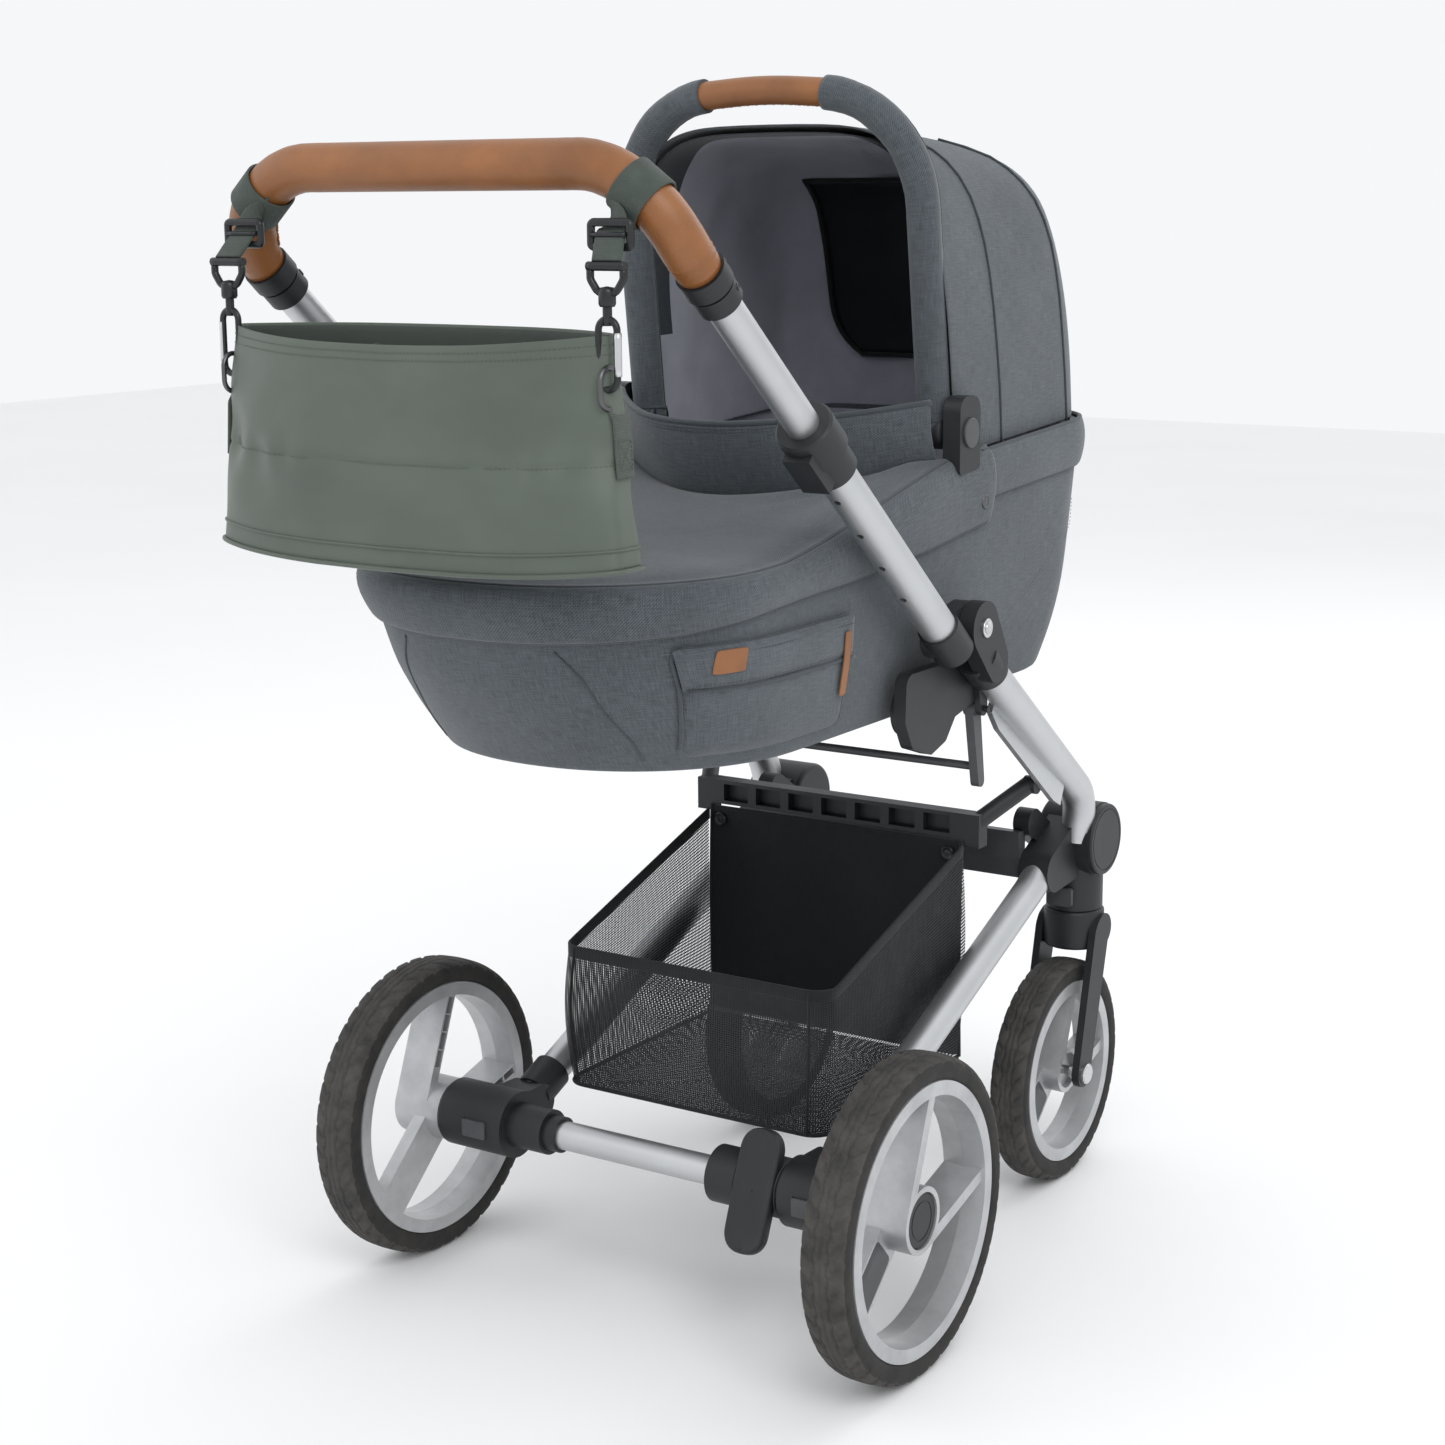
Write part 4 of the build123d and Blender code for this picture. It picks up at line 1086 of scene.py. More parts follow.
def pocket():
    low, high = box_mm("side_pocket")
    y0, y1 = low[1] + 20, high[1] - 2
    z0, z1 = low[2] + 2, high[2] - 1

    def patch(name, ya, yb, za, zb, puff, base, mats):
        rows = []
        for t in np.linspace(0, 1, 29):
            row = []
            for s in np.linspace(0, 1, 17):
                z = za + (zb - za) * s
                y = ya + (yb - ya) * t + (z1 - z) * 0.45 * (1 - t)
                edge_y = min(t, 1 - t) * (yb - ya)
                edge_z = min(s, 1 - s) * (zb - za)
                rise = smoothstep(min(edge_y, edge_z) / 11.0) ** 0.6
                wave = 0.8 * math.sin(y / 19 + z / 31) * rise
                lift = base + puff * rise + wave
                if min(t, 1 - t) == 0 or min(s, 1 - s) == 0:
                    lift = base - 1.5
                row.append(cot_side(y, z, lift))
            rows.append(row)
        obj = soften(grid(name, rows, mats))
        return on_body(obj)

    bag_patch = patch("pocket_bag", y0, y1, z0, z1, 8.0, 1.4, [TWILL])
    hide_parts("side_pocket")
    patch("pocket_flap", y0 - 1.5, y1 + 1.5, z1 - 36, z1 + 1.5, 3.6, 8.8, [TWILL])
    edge = [(y0 + (z1 - z) * 0.45, z) for z in np.linspace(z0 + 8, z1 - 8, 14)]
    edge += [(y, z1) for y in np.linspace(y0 + 8, y1 - 8, 24)]
    edge += [(y1, z) for z in np.linspace(z1 - 8, z0 + 8, 14)]
    line = curve_through(on_cot(edge, 3.0), 90)
    on_body(cord_line("pocket_piping", line, 1.9, [TWILL_DARK]))
    low_edge = [(y, z1 - 36) for y in np.linspace(y0 + 15, y1, 30)]
    line = on_cot(low_edge, 10.6)
    on_body(cord_line("pocket_flap_hem", line, 1.5, [PIPING]))
    for name, z, lift in (("pocket_stitch_a", z1 - 31, 12.3), ("pocket_stitch_b", z1 - 5.5, 11.4)):
        line = on_cot([(y, z) for y in np.linspace(y0 + 19, y1 - 4, 40)], lift)
        row = stitch_row(name, line, (1, 0, 0), [GREY_THREAD], 4.2, 2.7, 0.7)
        on_body(row)
    tag_low, tag_high = box_mm("leather_tab")
    leather_patch("tag_leather", tag_low[1] + 1, tag_high[1] - 1, tag_low[2] - 1, tag_high[2] - 1,
                  12.6, "chassis", "leather_tab")
    pull_low, pull_high = box_mm("zip_pull")
    leather_patch("zip_leather", pull_low[1], pull_high[1], pull_low[2] - 4, pull_high[2] - 3,
                  12.8, "zip", "zip_pull")


def leather_patch(name, y0, y1, z0, z1, lift, body, node):
    rows = []
    for t in np.linspace(0, 1, 13):
        row = []
        for s in np.linspace(0, 1, 13):
            u, v = 2 * t - 1, 2 * s - 1
            round_off = 1 - 0.06 * (u * v) ** 4
            y = (y0 + y1) / 2 + (y1 - y0) / 2 * u * round_off
            z = (z0 + z1) / 2 + (z1 - z0) / 2 * v * round_off
            row.append(cot_side(y, z, lift))
        rows.append(row)
    obj = soften(thick(grid(name, rows, [LEATHER]), 1.8, 1.0))
    on_body(obj, body)
    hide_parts(node)
    inset = 2.2
    loop = [(y0 + inset, z0 + inset), (y1 - inset, z0 + inset), (y1 - inset, z1 - inset),
            (y0 + inset, z1 - inset), (y0 + inset, z0 + inset)]
    line = np.vstack([spaced(on_cot([a, b], lift + 0.4), 10) for a, b in zip(loop, loop[1:])])
    row = stitch_row(name + "_stitch", line, (1, 0, 0), [THREAD], 3.0, 1.9, 0.6)
    on_body(row, body)


pocket()


def seams():
    """The foot's upright seam and the head's curved one, on both sides of the cot."""
    foot = [(-240, 676), (-222, 650), (-200, 620), (-173, 592), (-156, 572)]
    head = [(336, 566), (344, 585), (366, 615), (400, 648), (443, 676), (486, 700), (512, 730)]
    for name, line in (("seam_foot", foot), ("seam_head", head)):
        path = curve_through(on_cot(line, 0.2), 60)
        for sign in (-1, 1):
            side = sided(path, sign)
            tag = tag_of(sign)
            on_body(cord_line(f"{name}_{tag}", side, 1.15, [PIPING]))
            out = np.stack([side[:, 0], (side[:, 1] - 90) * 0.5, side[:, 2] * 0], 1)
            out /= np.linalg.norm(out, axis=1)[:, None]
            row = stitch_row(f"{name}_stitch_{tag}", side + out * 0.9 + np.array([0, 4.0, 0]), out,
                             [GREY_THREAD], 4.4, 2.6, 0.6)
            on_body(row)


seams()


def head_band():
    """The flange of cloth round the head end, under the hood's zip."""
    start = APRON_END - 22
    rows = []
    for grow, drop in ((2.6, 44.0), (4.2, 40.0), (6.0, 26.0), (5.6, 12.0), (3.0, 2.0), (0.5, -2.2)):
        ring = cot_rings([lambda y, d=drop: rim_z(y) - d], grow)[0][:RIGHT_COUNT]
        ring = ring[ring[:, 1] >= start + 1]
        first = cot_side(start, rim_z(start) - drop, grow)
        right = spaced(np.vstack([first, ring]), 60)
        rows.append(whole(right))
    points = np.array(rows).transpose(1, 0, 2)
    obj = soften(thick(grid("head_band", points, [TWILL]), 2.4, 1.0))
    on_body(obj)
    hem = points[:, 0]
    on_body(cord_line("head_band_hem", hem, 1.7, [PIPING]))
    zip_line = cot_rings([lambda y: rim_z(y) + 1.5], 1.6)[0][:RIGHT_COUNT]
    zip_line = zip_line[zip_line[:, 1] >= start]
    line = spaced(whole(zip_line), 150)
    on_body(cord_line("head_zip", line, 2.4, [PIPING]))
    out = np.stack([points[:, 1, 0], points[:, 1, 1] - 300, points[:, 1, 2] * 0], 1)
    out /= np.linalg.norm(out, axis=1)[:, None]
    row = stitch_row("head_band_stitch", points[:, 1] + out * 0.5, out, [GREY_THREAD], 4.6, 2.9, 0.75)
    on_body(row)


head_band()


# ---- hood ---------------------------------------------------------------------------
LEAN = 38.0 / 314.0
HOOD_HIGH = box_mm("hood_canopy")[1]
BOW_CENTRE = PIVOT[1:]
BOW_RADII = [105, 500, 105]


def bow_y(z):
    return BOW_CENTRE[0] - (z - BOW_CENTRE[1]) * LEAN


def bow_route(step=4.0):
    y, z = BOW_CENTRE
    top_y, top_z = y - 38.0, z + 314.0
    corner_y, corner_z = y + (top_y - y) * 0.965, z + (top_z - z) * 0.965
    points = [(162, y, z), (161, corner_y, corner_z), (0, top_y, top_z),
              (-161, corner_y, corner_z), (-162, y, z)]
    return route(points, BOW_RADII, step)


def hood_bow():
    path = bow_route()
    leather_half = 70.0
    middle_part = np.abs(path[:, 0]) < leather_half
    middle_part &= path[:, 2] > 1000
    first = np.argmax(middle_part)
    last = len(path) - np.argmax(middle_part[::-1])
    toward_back = (0, 1, 0.12)
    for name, piece in (("r", path[:first + 1]), ("l", path[last - 1:])):
        run = np.concatenate([[0], np.cumsum(np.linalg.norm(np.diff(piece, axis=0), axis=1))])
        if name == "l":
            run = run[-1] - run
        crease = 0.35 * np.sin(run / 9.0) * smoothstep((run - 190) / 90)
        cuff = 0.06 * smoothstep((18 - run) / 18)
        scale = 1.0 + crease / 15.5 + cuff
        obj = swept(f"bow_sleeve_{name}", piece, circle(15.8, 26), toward_back, [TWILL], scale)
        on_body(obj, "hood")
        if name == "r":
            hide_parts("hood_bow")
        _, side, rise = frames(piece, toward_back)
        for tag, turn, size in (("seam", 0.5, 1.3), ("inner", 2.5, 1.0)):
            line = piece + (side * math.cos(turn) + rise * math.sin(turn)) * 15.7
            on_body(cord_line(f"bow_{tag}_{name}", line[3:-1], size, [PIPING]), "hood")
        out = side * math.cos(0.9) + rise * math.sin(0.9)
        line = piece + out * 15.9
        row = stitch_row(f"bow_stitch_{name}", line[3:-1], out[3:-1], [GREY_THREAD], 4.6, 2.8, 0.6)
        on_body(row, "hood")
        end = piece[0] if name == "r" else piece[-1]
        spot = end + np.array([0, 0, 10.0])
        cuff_line = [spot + np.array([16.6 * math.cos(a), 16.6 * math.sin(a), 0])
                     for a in full_turn(40)]
        on_body(cord_line(f"bow_cuff_{name}", cuff_line, 1.2, [PIPING], closed=True), "hood")
    core = path[first - 2:last + 2]
    run = np.linspace(0, 1, len(core))
    scale = 0.9 + 0.1 * smoothstep(np.minimum(run, 1 - run) * 26)
    grip = swept("bow_leather", core, [(a * 13.2, b * 14.6) for a, b in circle(1, 24)],
                 toward_back, [LEATHER], scale)
    on_body(grip, "hood")
    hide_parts("hood_grip")
    _, side, rise = frames(core, toward_back)
    low = core + side * 12.9 * np.sign((side @ np.array([0, 0, -1.0])))[:, None]
    lace = stitch_row("bow_lacing", low[2:-2], (low - core)[2:-2], [THREAD], 4.6, 4.6, 1.0, 0.9)
    on_body(lace, "hood")
    for sign in (-1, 1):
        on_body(pivot_cap(sign), "hood")


def pivot_cap(sign):
    """The moulded foot of the bow at its hub, inside the cot's rim."""
    rings = []
    for x, radius in ((148, 0.4), (148, 12.5), (149.5, 15), (153, 16.8), (172, 16.8), (176, 15.6),
                      (177.5, 9.0), (182, 8.0)):
        rings.append([(sign * x, BOW_CENTRE[0] + y, BOW_CENTRE[1] + z) for y, z in circle(radius, 32)])
    return tidy(grid(f"bow_foot_{tag_of(sign)}", rings, [BLACK], close_v=True), 0.0004)


hood_bow()

HOOD_HALF = HOOD_HIGH[0]
HOOD_TOP = HOOD_HIGH[2] + 6
HOOD_RUN = 86.0
HOOD_POWER = 3.0
HOOD_SHARE = np.array([0.0, 0.05, 0.11, 0.18, 0.26, 0.35, 0.45, 0.55, 0.64, 0.72, 0.79, 0.85,
                       0.895, 0.93, 0.957, 0.976, 0.989, 0.997, 1.0])
HOOD_BACK = np.interp(HOOD_SHARE, [0, 0.2, 0.42, 0.62, 0.8, 0.88, 0.93, 0.965, 0.985, 1.0],
                      [519, 515, 506, 494, 478, 462, 440, 405, 370, 330])


def away_from_middle(rings):
    """Directions out of the hood's middle, one for each point."""
    away = rings - np.array([0, 330.0, 930.0])
    away /= np.linalg.norm(away, axis=2)[..., None]
    return away


def hood_surface(inset, near=2.0, rim_lift=1.0, soft=0.0):
    """The canopy as rings[share][around], from the right end of the bow round to the left."""
    rings = []
    for share, back in zip(HOOD_SHARE, HOOD_BACK):
        half = (HOOD_HALF + 1.0 - inset) * (1 - share ** 4.2) ** (1 / 4.2)
        back = back + HEAD_OUT - inset * (1 - share * 0.5)
        run = min(HOOD_RUN, max(half, 0.01))
        z_mid = COT_HIGH[2] + (HOOD_TOP - inset - COT_HIGH[2]) * share
        front = bow_y(z_mid) + near
        line = [(half, front)]
        for t in np.linspace(0, 1, 26)[1:]:
            line.append((half, front + (back - run - front) * t))
        for a in np.linspace(0, math.pi / 2, 20)[1:]:
            x = half - run + run * math.cos(a) ** (2 / HOOD_POWER)
            y = back - run + run * math.sin(a) ** (2 / HOOD_POWER)
            line.append((x, y))
        for t in np.linspace(0, 1, 9)[1:]:
            line.append(((half - run) * (1 - t), back))
        ring = []
        for x, y in line:
            low = rim_z(y) + rim_lift
            high = HOOD_TOP - inset - 0.055 * (y - 205)
            ring.append((x, y, low + (high - low) * share))
        rings.append(whole(np.array(ring)))
    rings = np.array(rings)
    if soft:
        u = np.linspace(0, 1, rings.shape[1])[None, :]
        s = HOOD_SHARE[:, None]
        fold = np.sin(u * 46 + 3.2 * s) * 0.6 + np.sin(u * 23 - 5.0 * s + 1.0) * 0.9
        fold += np.sin(u * 71 + 9 * s) * 0.35
        mask = np.sin(np.clip(s, 0, 1) * math.pi) ** 0.7 * np.sin(np.clip(u, 0, 1) * math.pi) ** 0.4
        push = soft * fold * mask
        rings = rings + away_from_middle(rings) * push[..., None]
    return rings


def bend_with_hood(obj):
    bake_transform(obj)


def hood_canopy():
    rings = hood_surface(0.0, 3.0, 1.0, 0.0)
    u = np.linspace(0, 1, rings.shape[1])[None, :]
    s = HOOD_SHARE[:, None]
    tension = np.exp(-((np.abs(u - 0.5) - 0.42 + 0.25 * s) / 0.03) ** 2) * np.sin(s * math.pi)
    ripple = np.sin(u * 60 + s * 9) * np.sin(s * math.pi) * np.sin(u * math.pi)
    away = away_from_middle(rings)
    slack = -2.2 * np.sin(np.clip(np.abs(u - 0.5) * 2, 0, 1) * math.pi) * np.sin(s * math.pi)
    rings = rings + away * (1.6 * tension + 0.7 * ripple + slack)[..., None]
    outer = grid("hood_outer", rings.transpose(1, 0, 2), [TWILL])
    tidy(outer, 0.0006)
    soften(thick(outer, 1.6, -1.0))
    bend_with_hood(outer)
    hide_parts("hood_canopy")
    cut(outer)
    inner = hood_surface(7.0, 6.0, -3.0, 4.4)
    count = inner.shape[1]
    ends = 8

    def shade(i, j):
        near = min(i, count - 2 - i)
        return 1 if near < ends - 3 * (HOOD_SHARE[j] < 0.30) else 0

    lining_sheet = grid("hood_lining", inner.transpose(1, 0, 2), [LINING, STRIP], pick=shade)
    tidy(lining_sheet, 0.0006)
    soften(thick(lining_sheet, 1.4, -1.0))
    bend_with_hood(lining_sheet)
    cut(lining_sheet)
    # seams over the crown and at the back corners
    for index, name in ((11, "crown"), (27, "corner")):
        for sign in (-1, 1):
            at_u = index if sign > 0 else rings.shape[1] - 1 - index
            line = rings[:-3, at_u] + away[:-3, at_u] * 0.9
            cord_obj = cord_line(f"hood_{name}_{tag_of(sign)}", line, 1.2, [PIPING],
                                 up=(0.3, 1, 0.02))
            bend_with_hood(cord_obj)
    # vent window in the back, with its bound edge, inside
    hood_window()


def inner_back(x, z, inset=7.0):
    """The length at which the hood's lining stands, behind a point of the back wall."""
    low = rim_z(480.0)
    high = HOOD_TOP - inset - 0.055 * 275
    share = min(0.97, max(0.0, (z - low) / (high - low)))
    half = (HOOD_HALF + 1.0 - inset) * (1 - share ** 4.2) ** (1 / 4.2)
    back = np.interp(share, HOOD_SHARE, HOOD_BACK) + HEAD_OUT - inset * (1 - share * 0.5)
    run = min(HOOD_RUN, half)
    over = max(0.0, (abs(x) - (half - run)) / run)
    return back - run + run * max(0.0, 1 - over ** HOOD_POWER) ** (1 / HOOD_POWER)


def hood_window():
    half_w, low, high = 112.0, 868.0, 1050.0
    rows = []
    for t in np.linspace(0, 1, 25):
        v = 2 * t - 1
        row = []
        for s in np.linspace(-1, 1, 25):
            squeeze = 1.0 if v > -0.2 else 1 - 0.30 * ((-0.2 - v) / 0.8) ** 3.2
            x = half_w * s * squeeze
            z = low + (high - low) * t
            row.append((x, inner_back(x, z) - 9.5, z))
        rows.append(row)
    points = np.array(rows)
    obj = thick(grid("hood_window", points, [WINDOW]), 0.5, 0.0)
    bend_with_hood(obj)
    loop = np.concatenate([points[0], points[1:, -1], points[-1, ::-1][1:], points[::-1, 0][1:-1]])
    loop = loop + np.array([0, -1.2, 0])
    edge = cord_line("hood_window_edge", loop, 2.6, [BINDING], up=(0.02, 1, 0.01), closed=True)
    bend_with_hood(edge)


hood_canopy()


# ---- bag ----------------------------------------------------------------------------
BAG_TOP, BAG_FLOOR = BAG_HIGH[2], BAG_LOW[2]
BAG_HALF_LOW = BAG_HIGH[0]
SWING = mm(Vector(next(j for j in frame["joints"] if j["name"] == "bag_swing")["pos_m"]))


BAG_MID = SWING[1] + 9.0
BAG_DEEP = 41.0


def bag_ring(share, inset=0.0, count=132):
    """The bag's outline at a share of its height: pinched at its rings, with a sagging floor."""
    half = BAG_HALF_LOW + 3.0 - 14.0 * share ** 0.9 - inset
    belly = 3.5 * math.sin(share * math.pi)
    points = []
    for a in full_turn(count):
        c, s = math.cos(a), math.sin(a)
        x = half * math.copysign(abs(c) ** (2 / 6.0), c)
        across = abs(x) / half
        pinch = 1 - (0.42 + 0.34 * share) * across ** 3.4
        deep = (BAG_DEEP + 4.0 * (1 - share) - inset + belly * (1 - across ** 2)) * pinch
        y = deep * math.copysign(abs(s) ** (2 / 5.0), s)
        droop = 9.0 * across ** 2.4 * (1 - share)
        near = 1.0 if s < 0 else -0.15
        dip = -11.0 * near * (1 - across ** 2) * share ** 5
        z = BAG_FLOOR + 2 + droop + (BAG_TOP - BAG_FLOOR - 2) * share + dip
        fold = math.sin(x / 31 + share * 5) * math.sin(share * 7 + x / 57)
        crease = math.sin(x / 9.5 - share * 9) * across ** 2
        crease += 1.5 * math.sin(x / 6.0) * math.exp(-((share - 0.45) / 0.07) ** 2)
        crease += 1.4 * math.exp(-((across - 0.86) / 0.13) ** 2) * math.sin(share * 15 + x / 30)
        y += (fold * 3.0 + crease * 1.6) * math.sin(share * math.pi) * (1 - 0.5 * inset / 9)
        points.append((x, BAG_MID + y, z))
    return np.array(points)


def bag_disc(share, inset, size):
    """A ring of the bag drawn in towards its middle."""
    flat = bag_ring(share, inset)
    flat[:, 0] *= size
    flat[:, 1] = BAG_MID + (flat[:, 1] - BAG_MID) * size
    return flat


def squash_bag(obj):
    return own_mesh(obj)


def bag():
    shares = [0.0, 0.02, 0.05, 0.1, 0.16, 0.23, 0.3, 0.37, 0.435, 0.452, 0.468, 0.5, 0.56, 0.64,
              0.72, 0.8, 0.87, 0.92, 0.955, 0.985, 1.0]
    rows = []
    for share, lift in ((0.02, -1.0), (0.5, -1.5), (0.88, -1.0), (0.965, 0.0)):
        rows.append(bag_disc(0.0, 0.0, share) + np.array([0, 0, lift - 2.0 * (1 - share)]))
    for share in shares:
        rows.append(bag_ring(share, 1.8 if share == 0.452 else 0.0))
    outside = len(rows)
    for share, inset in ((0.995, 2.6), (0.93, 3.4), (0.7, 5), (0.4, 5.5), (0.1, 6), (0.04, 9)):
        rows.append(bag_ring(share, inset))
    for share in (0.6, 0.02):
        rows.append(bag_disc(0.04, 9, share))
    obj = grid("bag_shell", np.array(rows).transpose(1, 0, 2), [SAGE, SAGE_IN], close_u=True,
               pick=lambda i, j: int(j >= outside))
    soften(tidy(obj, 0.0004))
    on_body(obj, "bag")
    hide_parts("bag")
    squash_bag(obj)
    for share, name, size, grow in ((0.0, "bag_piping_low", 1.9, -0.8),
                                    (0.09, "bag_piping_mid", 1.1, -0.5)):
        line = bag_ring(share, grow)
        squash_bag(on_body(cord_line(name, line, size, [SAGE], closed=True), "bag"))
    for share, name, grow in ((0.955, "bag_hem_stitch", -0.4), (0.447, "bag_seam_stitch", 0.9),
                              (0.915, "bag_hem_low", -0.4)):
        line = bag_ring(share, grow)
        line = np.vstack([line, line[:1]])
        out = line - np.array([0, BAG_MID, 0])
        out[:, 0] *= (np.abs(line[:, 0]) > 165)
        out[:, 2] = 0
        out[:, 1] *= np.where(np.abs(line[:, 0]) > 180, 0.2, 1)
        out /= np.maximum(np.linalg.norm(out, axis=1), 1e-6)[:, None]
        row = stitch_row(name, line, out, [SAGE_THREAD], 3.8, 2.6, 0.6)
        squash_bag(on_body(row, "bag"))
    for x in (-62.0, 58.0):
        wall = []
        for t in np.linspace(0, 1, 9):
            y = BAG_MID + (2 * t - 1) * (BAG_DEEP - 8) * (1 - 0.7 * (abs(x) / 190) ** 3)
            wall.append([(x + 3 * math.sin(t * 5), y, BAG_FLOOR + 14 + (BAG_TOP - BAG_FLOOR - 26) * s
                          - 5 * math.sin(t * math.pi) * s) for s in np.linspace(0, 1, 9)])
        divider = soften(thick(grid(f"bag_divider_{'r' if x > 0 else 'l'}", wall, [SAGE_IN]), 1.6, 0.0))
        squash_bag(on_body(divider, "bag"))


bag()


# ---- straps, buckles and hooks ------------------------------------------------------
def strap(sign):
    tag = tag_of(sign)
    path = route(handle_route(577.3), HANDLE_RADII, 3)
    index = np.argmin(np.abs(path[:, 0] - STRAP_X) + (path[:, 2] < 1000) * 999)
    centre = path[index]
    tangent = path[index + 1] - path[index - 1]
    tangent /= np.linalg.norm(tangent)
    down = np.array([0, -0.25, -1.0])
    down -= tangent * (down @ tangent)
    down /= np.linalg.norm(down)
    back = np.cross(tangent, down)
    loop = []
    for a in np.linspace(0, 2 * math.pi, 49)[:-1]:
        radius = 21.4 + 1.2 * max(0, math.cos(a)) ** 3
        loop.append(centre + (down * math.cos(a) + back * math.sin(a)) * radius)
    rings = []
    for ring_point in loop:
        out = (ring_point - centre) / np.linalg.norm(ring_point - centre)
        rings.append([ring_point + tangent * a + out * b for a, b in flat_profile(30, 2.2, 4)])
    band = np.array(rings)
    tail_top = centre + down * 21.5 + np.array([0, -8.0, 2.0])
    tail_end = np.array([STRAP_X, SWING[1], 990.0])
    line = curve_through([tail_top + np.array([0, 2, 12.0]), tail_top, (tail_top + tail_end) / 2
                          + np.array([0, -2.0, 0]), tail_end], 30)
    rows = []
    for k, p in enumerate(line):
        t = k / (len(line) - 1)
        wide = tangent * (1 - smoothstep(t * 1.6)) + np.array([1.0, 0, 0]) * smoothstep(t * 1.6)
        wide /= np.linalg.norm(wide)
        run = line[min(k + 1, len(line) - 1)] - line[max(k - 1, 0)]
        run /= np.linalg.norm(run)
        out = np.cross(wide, run)
        rows.append([p + wide * a + out * b for a, b in flat_profile(27, 3.4, 4)])
    for name, points, closed in (("strap_band", band, True), ("strap_tail", rows, False)):
        obj = grid(f"{name}_{tag}", sided(points, sign), [WEBBING], close_u=closed, close_v=True)
        if not closed:
            cap_ends(obj, len(flat_profile(27, 3.4, 4)))
        on_body(obj, "handle")
        if name == "strap_band" and sign > 0:
            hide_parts("bag_straps")
    slider_mid = line[17]
    frame_bar(f"slider_{tag}", slider_mid, 37, 13, 3.2, sign, BLACK_SMOOTH, "handle")
    bar_line = [slider_mid + np.array([-16, -3.0, 0]), slider_mid + np.array([16, -3.0, 0])]
    on_body(cord_line(f"slider_bar_{tag}", spaced(sided(bar_line, sign), 6), 2.0, [BLACK_SMOOTH]), "handle")
    # swivel yoke
    yoke = route([(STRAP_X - 15, SWING[1], 984), (STRAP_X - 15, SWING[1], 977),
                  (STRAP_X - 8, SWING[1], SWING[2] + 1), (STRAP_X + 8, SWING[1], SWING[2] + 1),
                  (STRAP_X + 15, SWING[1], 977), (STRAP_X + 15, SWING[1], 984)], [4, 7, 7, 4], 2)
    on_body(cord_line(f"yoke_{tag}", sided(yoke, sign), 3.0, [BLACK_SMOOTH], up=(0, 1, 0.01)), "handle")
    top = np.array([[STRAP_X - 17, SWING[1], 986.5], [STRAP_X + 17, SWING[1], 986.5]])
    top = sided(top, sign)
    on_body(swept(f"yoke_top_{tag}", spaced(top, 10), flat_profile(8, 7, 5), (0, 0, 1),
                  [BLACK_SMOOTH]), "handle")


def frame_bar(name, centre, width, height, radius, sign, material, body):
    """A rounded rectangular loop of round bar, standing in the X-Z plane."""
    w, h = width / 2 - radius, height / 2
    loop = []
    for cx, cz, start in ((w, h, 0), (-w, h, 90), (-w, -h, 180), (w, -h, 270)):
        for a in np.linspace(start, start + 90, 6):
            loop.append(centre + np.array([cx + 2.5 * math.cos(math.radians(a)), 0,
                                           cz + 2.5 * math.sin(math.radians(a))]))
    points = sided(loop, sign)
    obj = cord_line(name, points, radius, [material], up=(0, 1, 0.01), closed=True)
    return on_body(obj, body)


STRAP_X = box_mm("bag_hooks")[1][0] - 10.5


def stadium(centre, length, width, plane, count=40):
    """A rounded-end loop's centreline; plane is "x" (seen along X) or "y"."""
    run = (length - width) / 2
    points = []
    for a in full_turn(count):
        c, s = math.cos(a), math.sin(a)
        across = width / 2 * c
        up = width / 2 * s + (run if s >= 0 else -run)
        points.append(centre + (np.array([across, 0, up]) if plane == "y" else np.array([0, across, up])))
    return np.array(points)


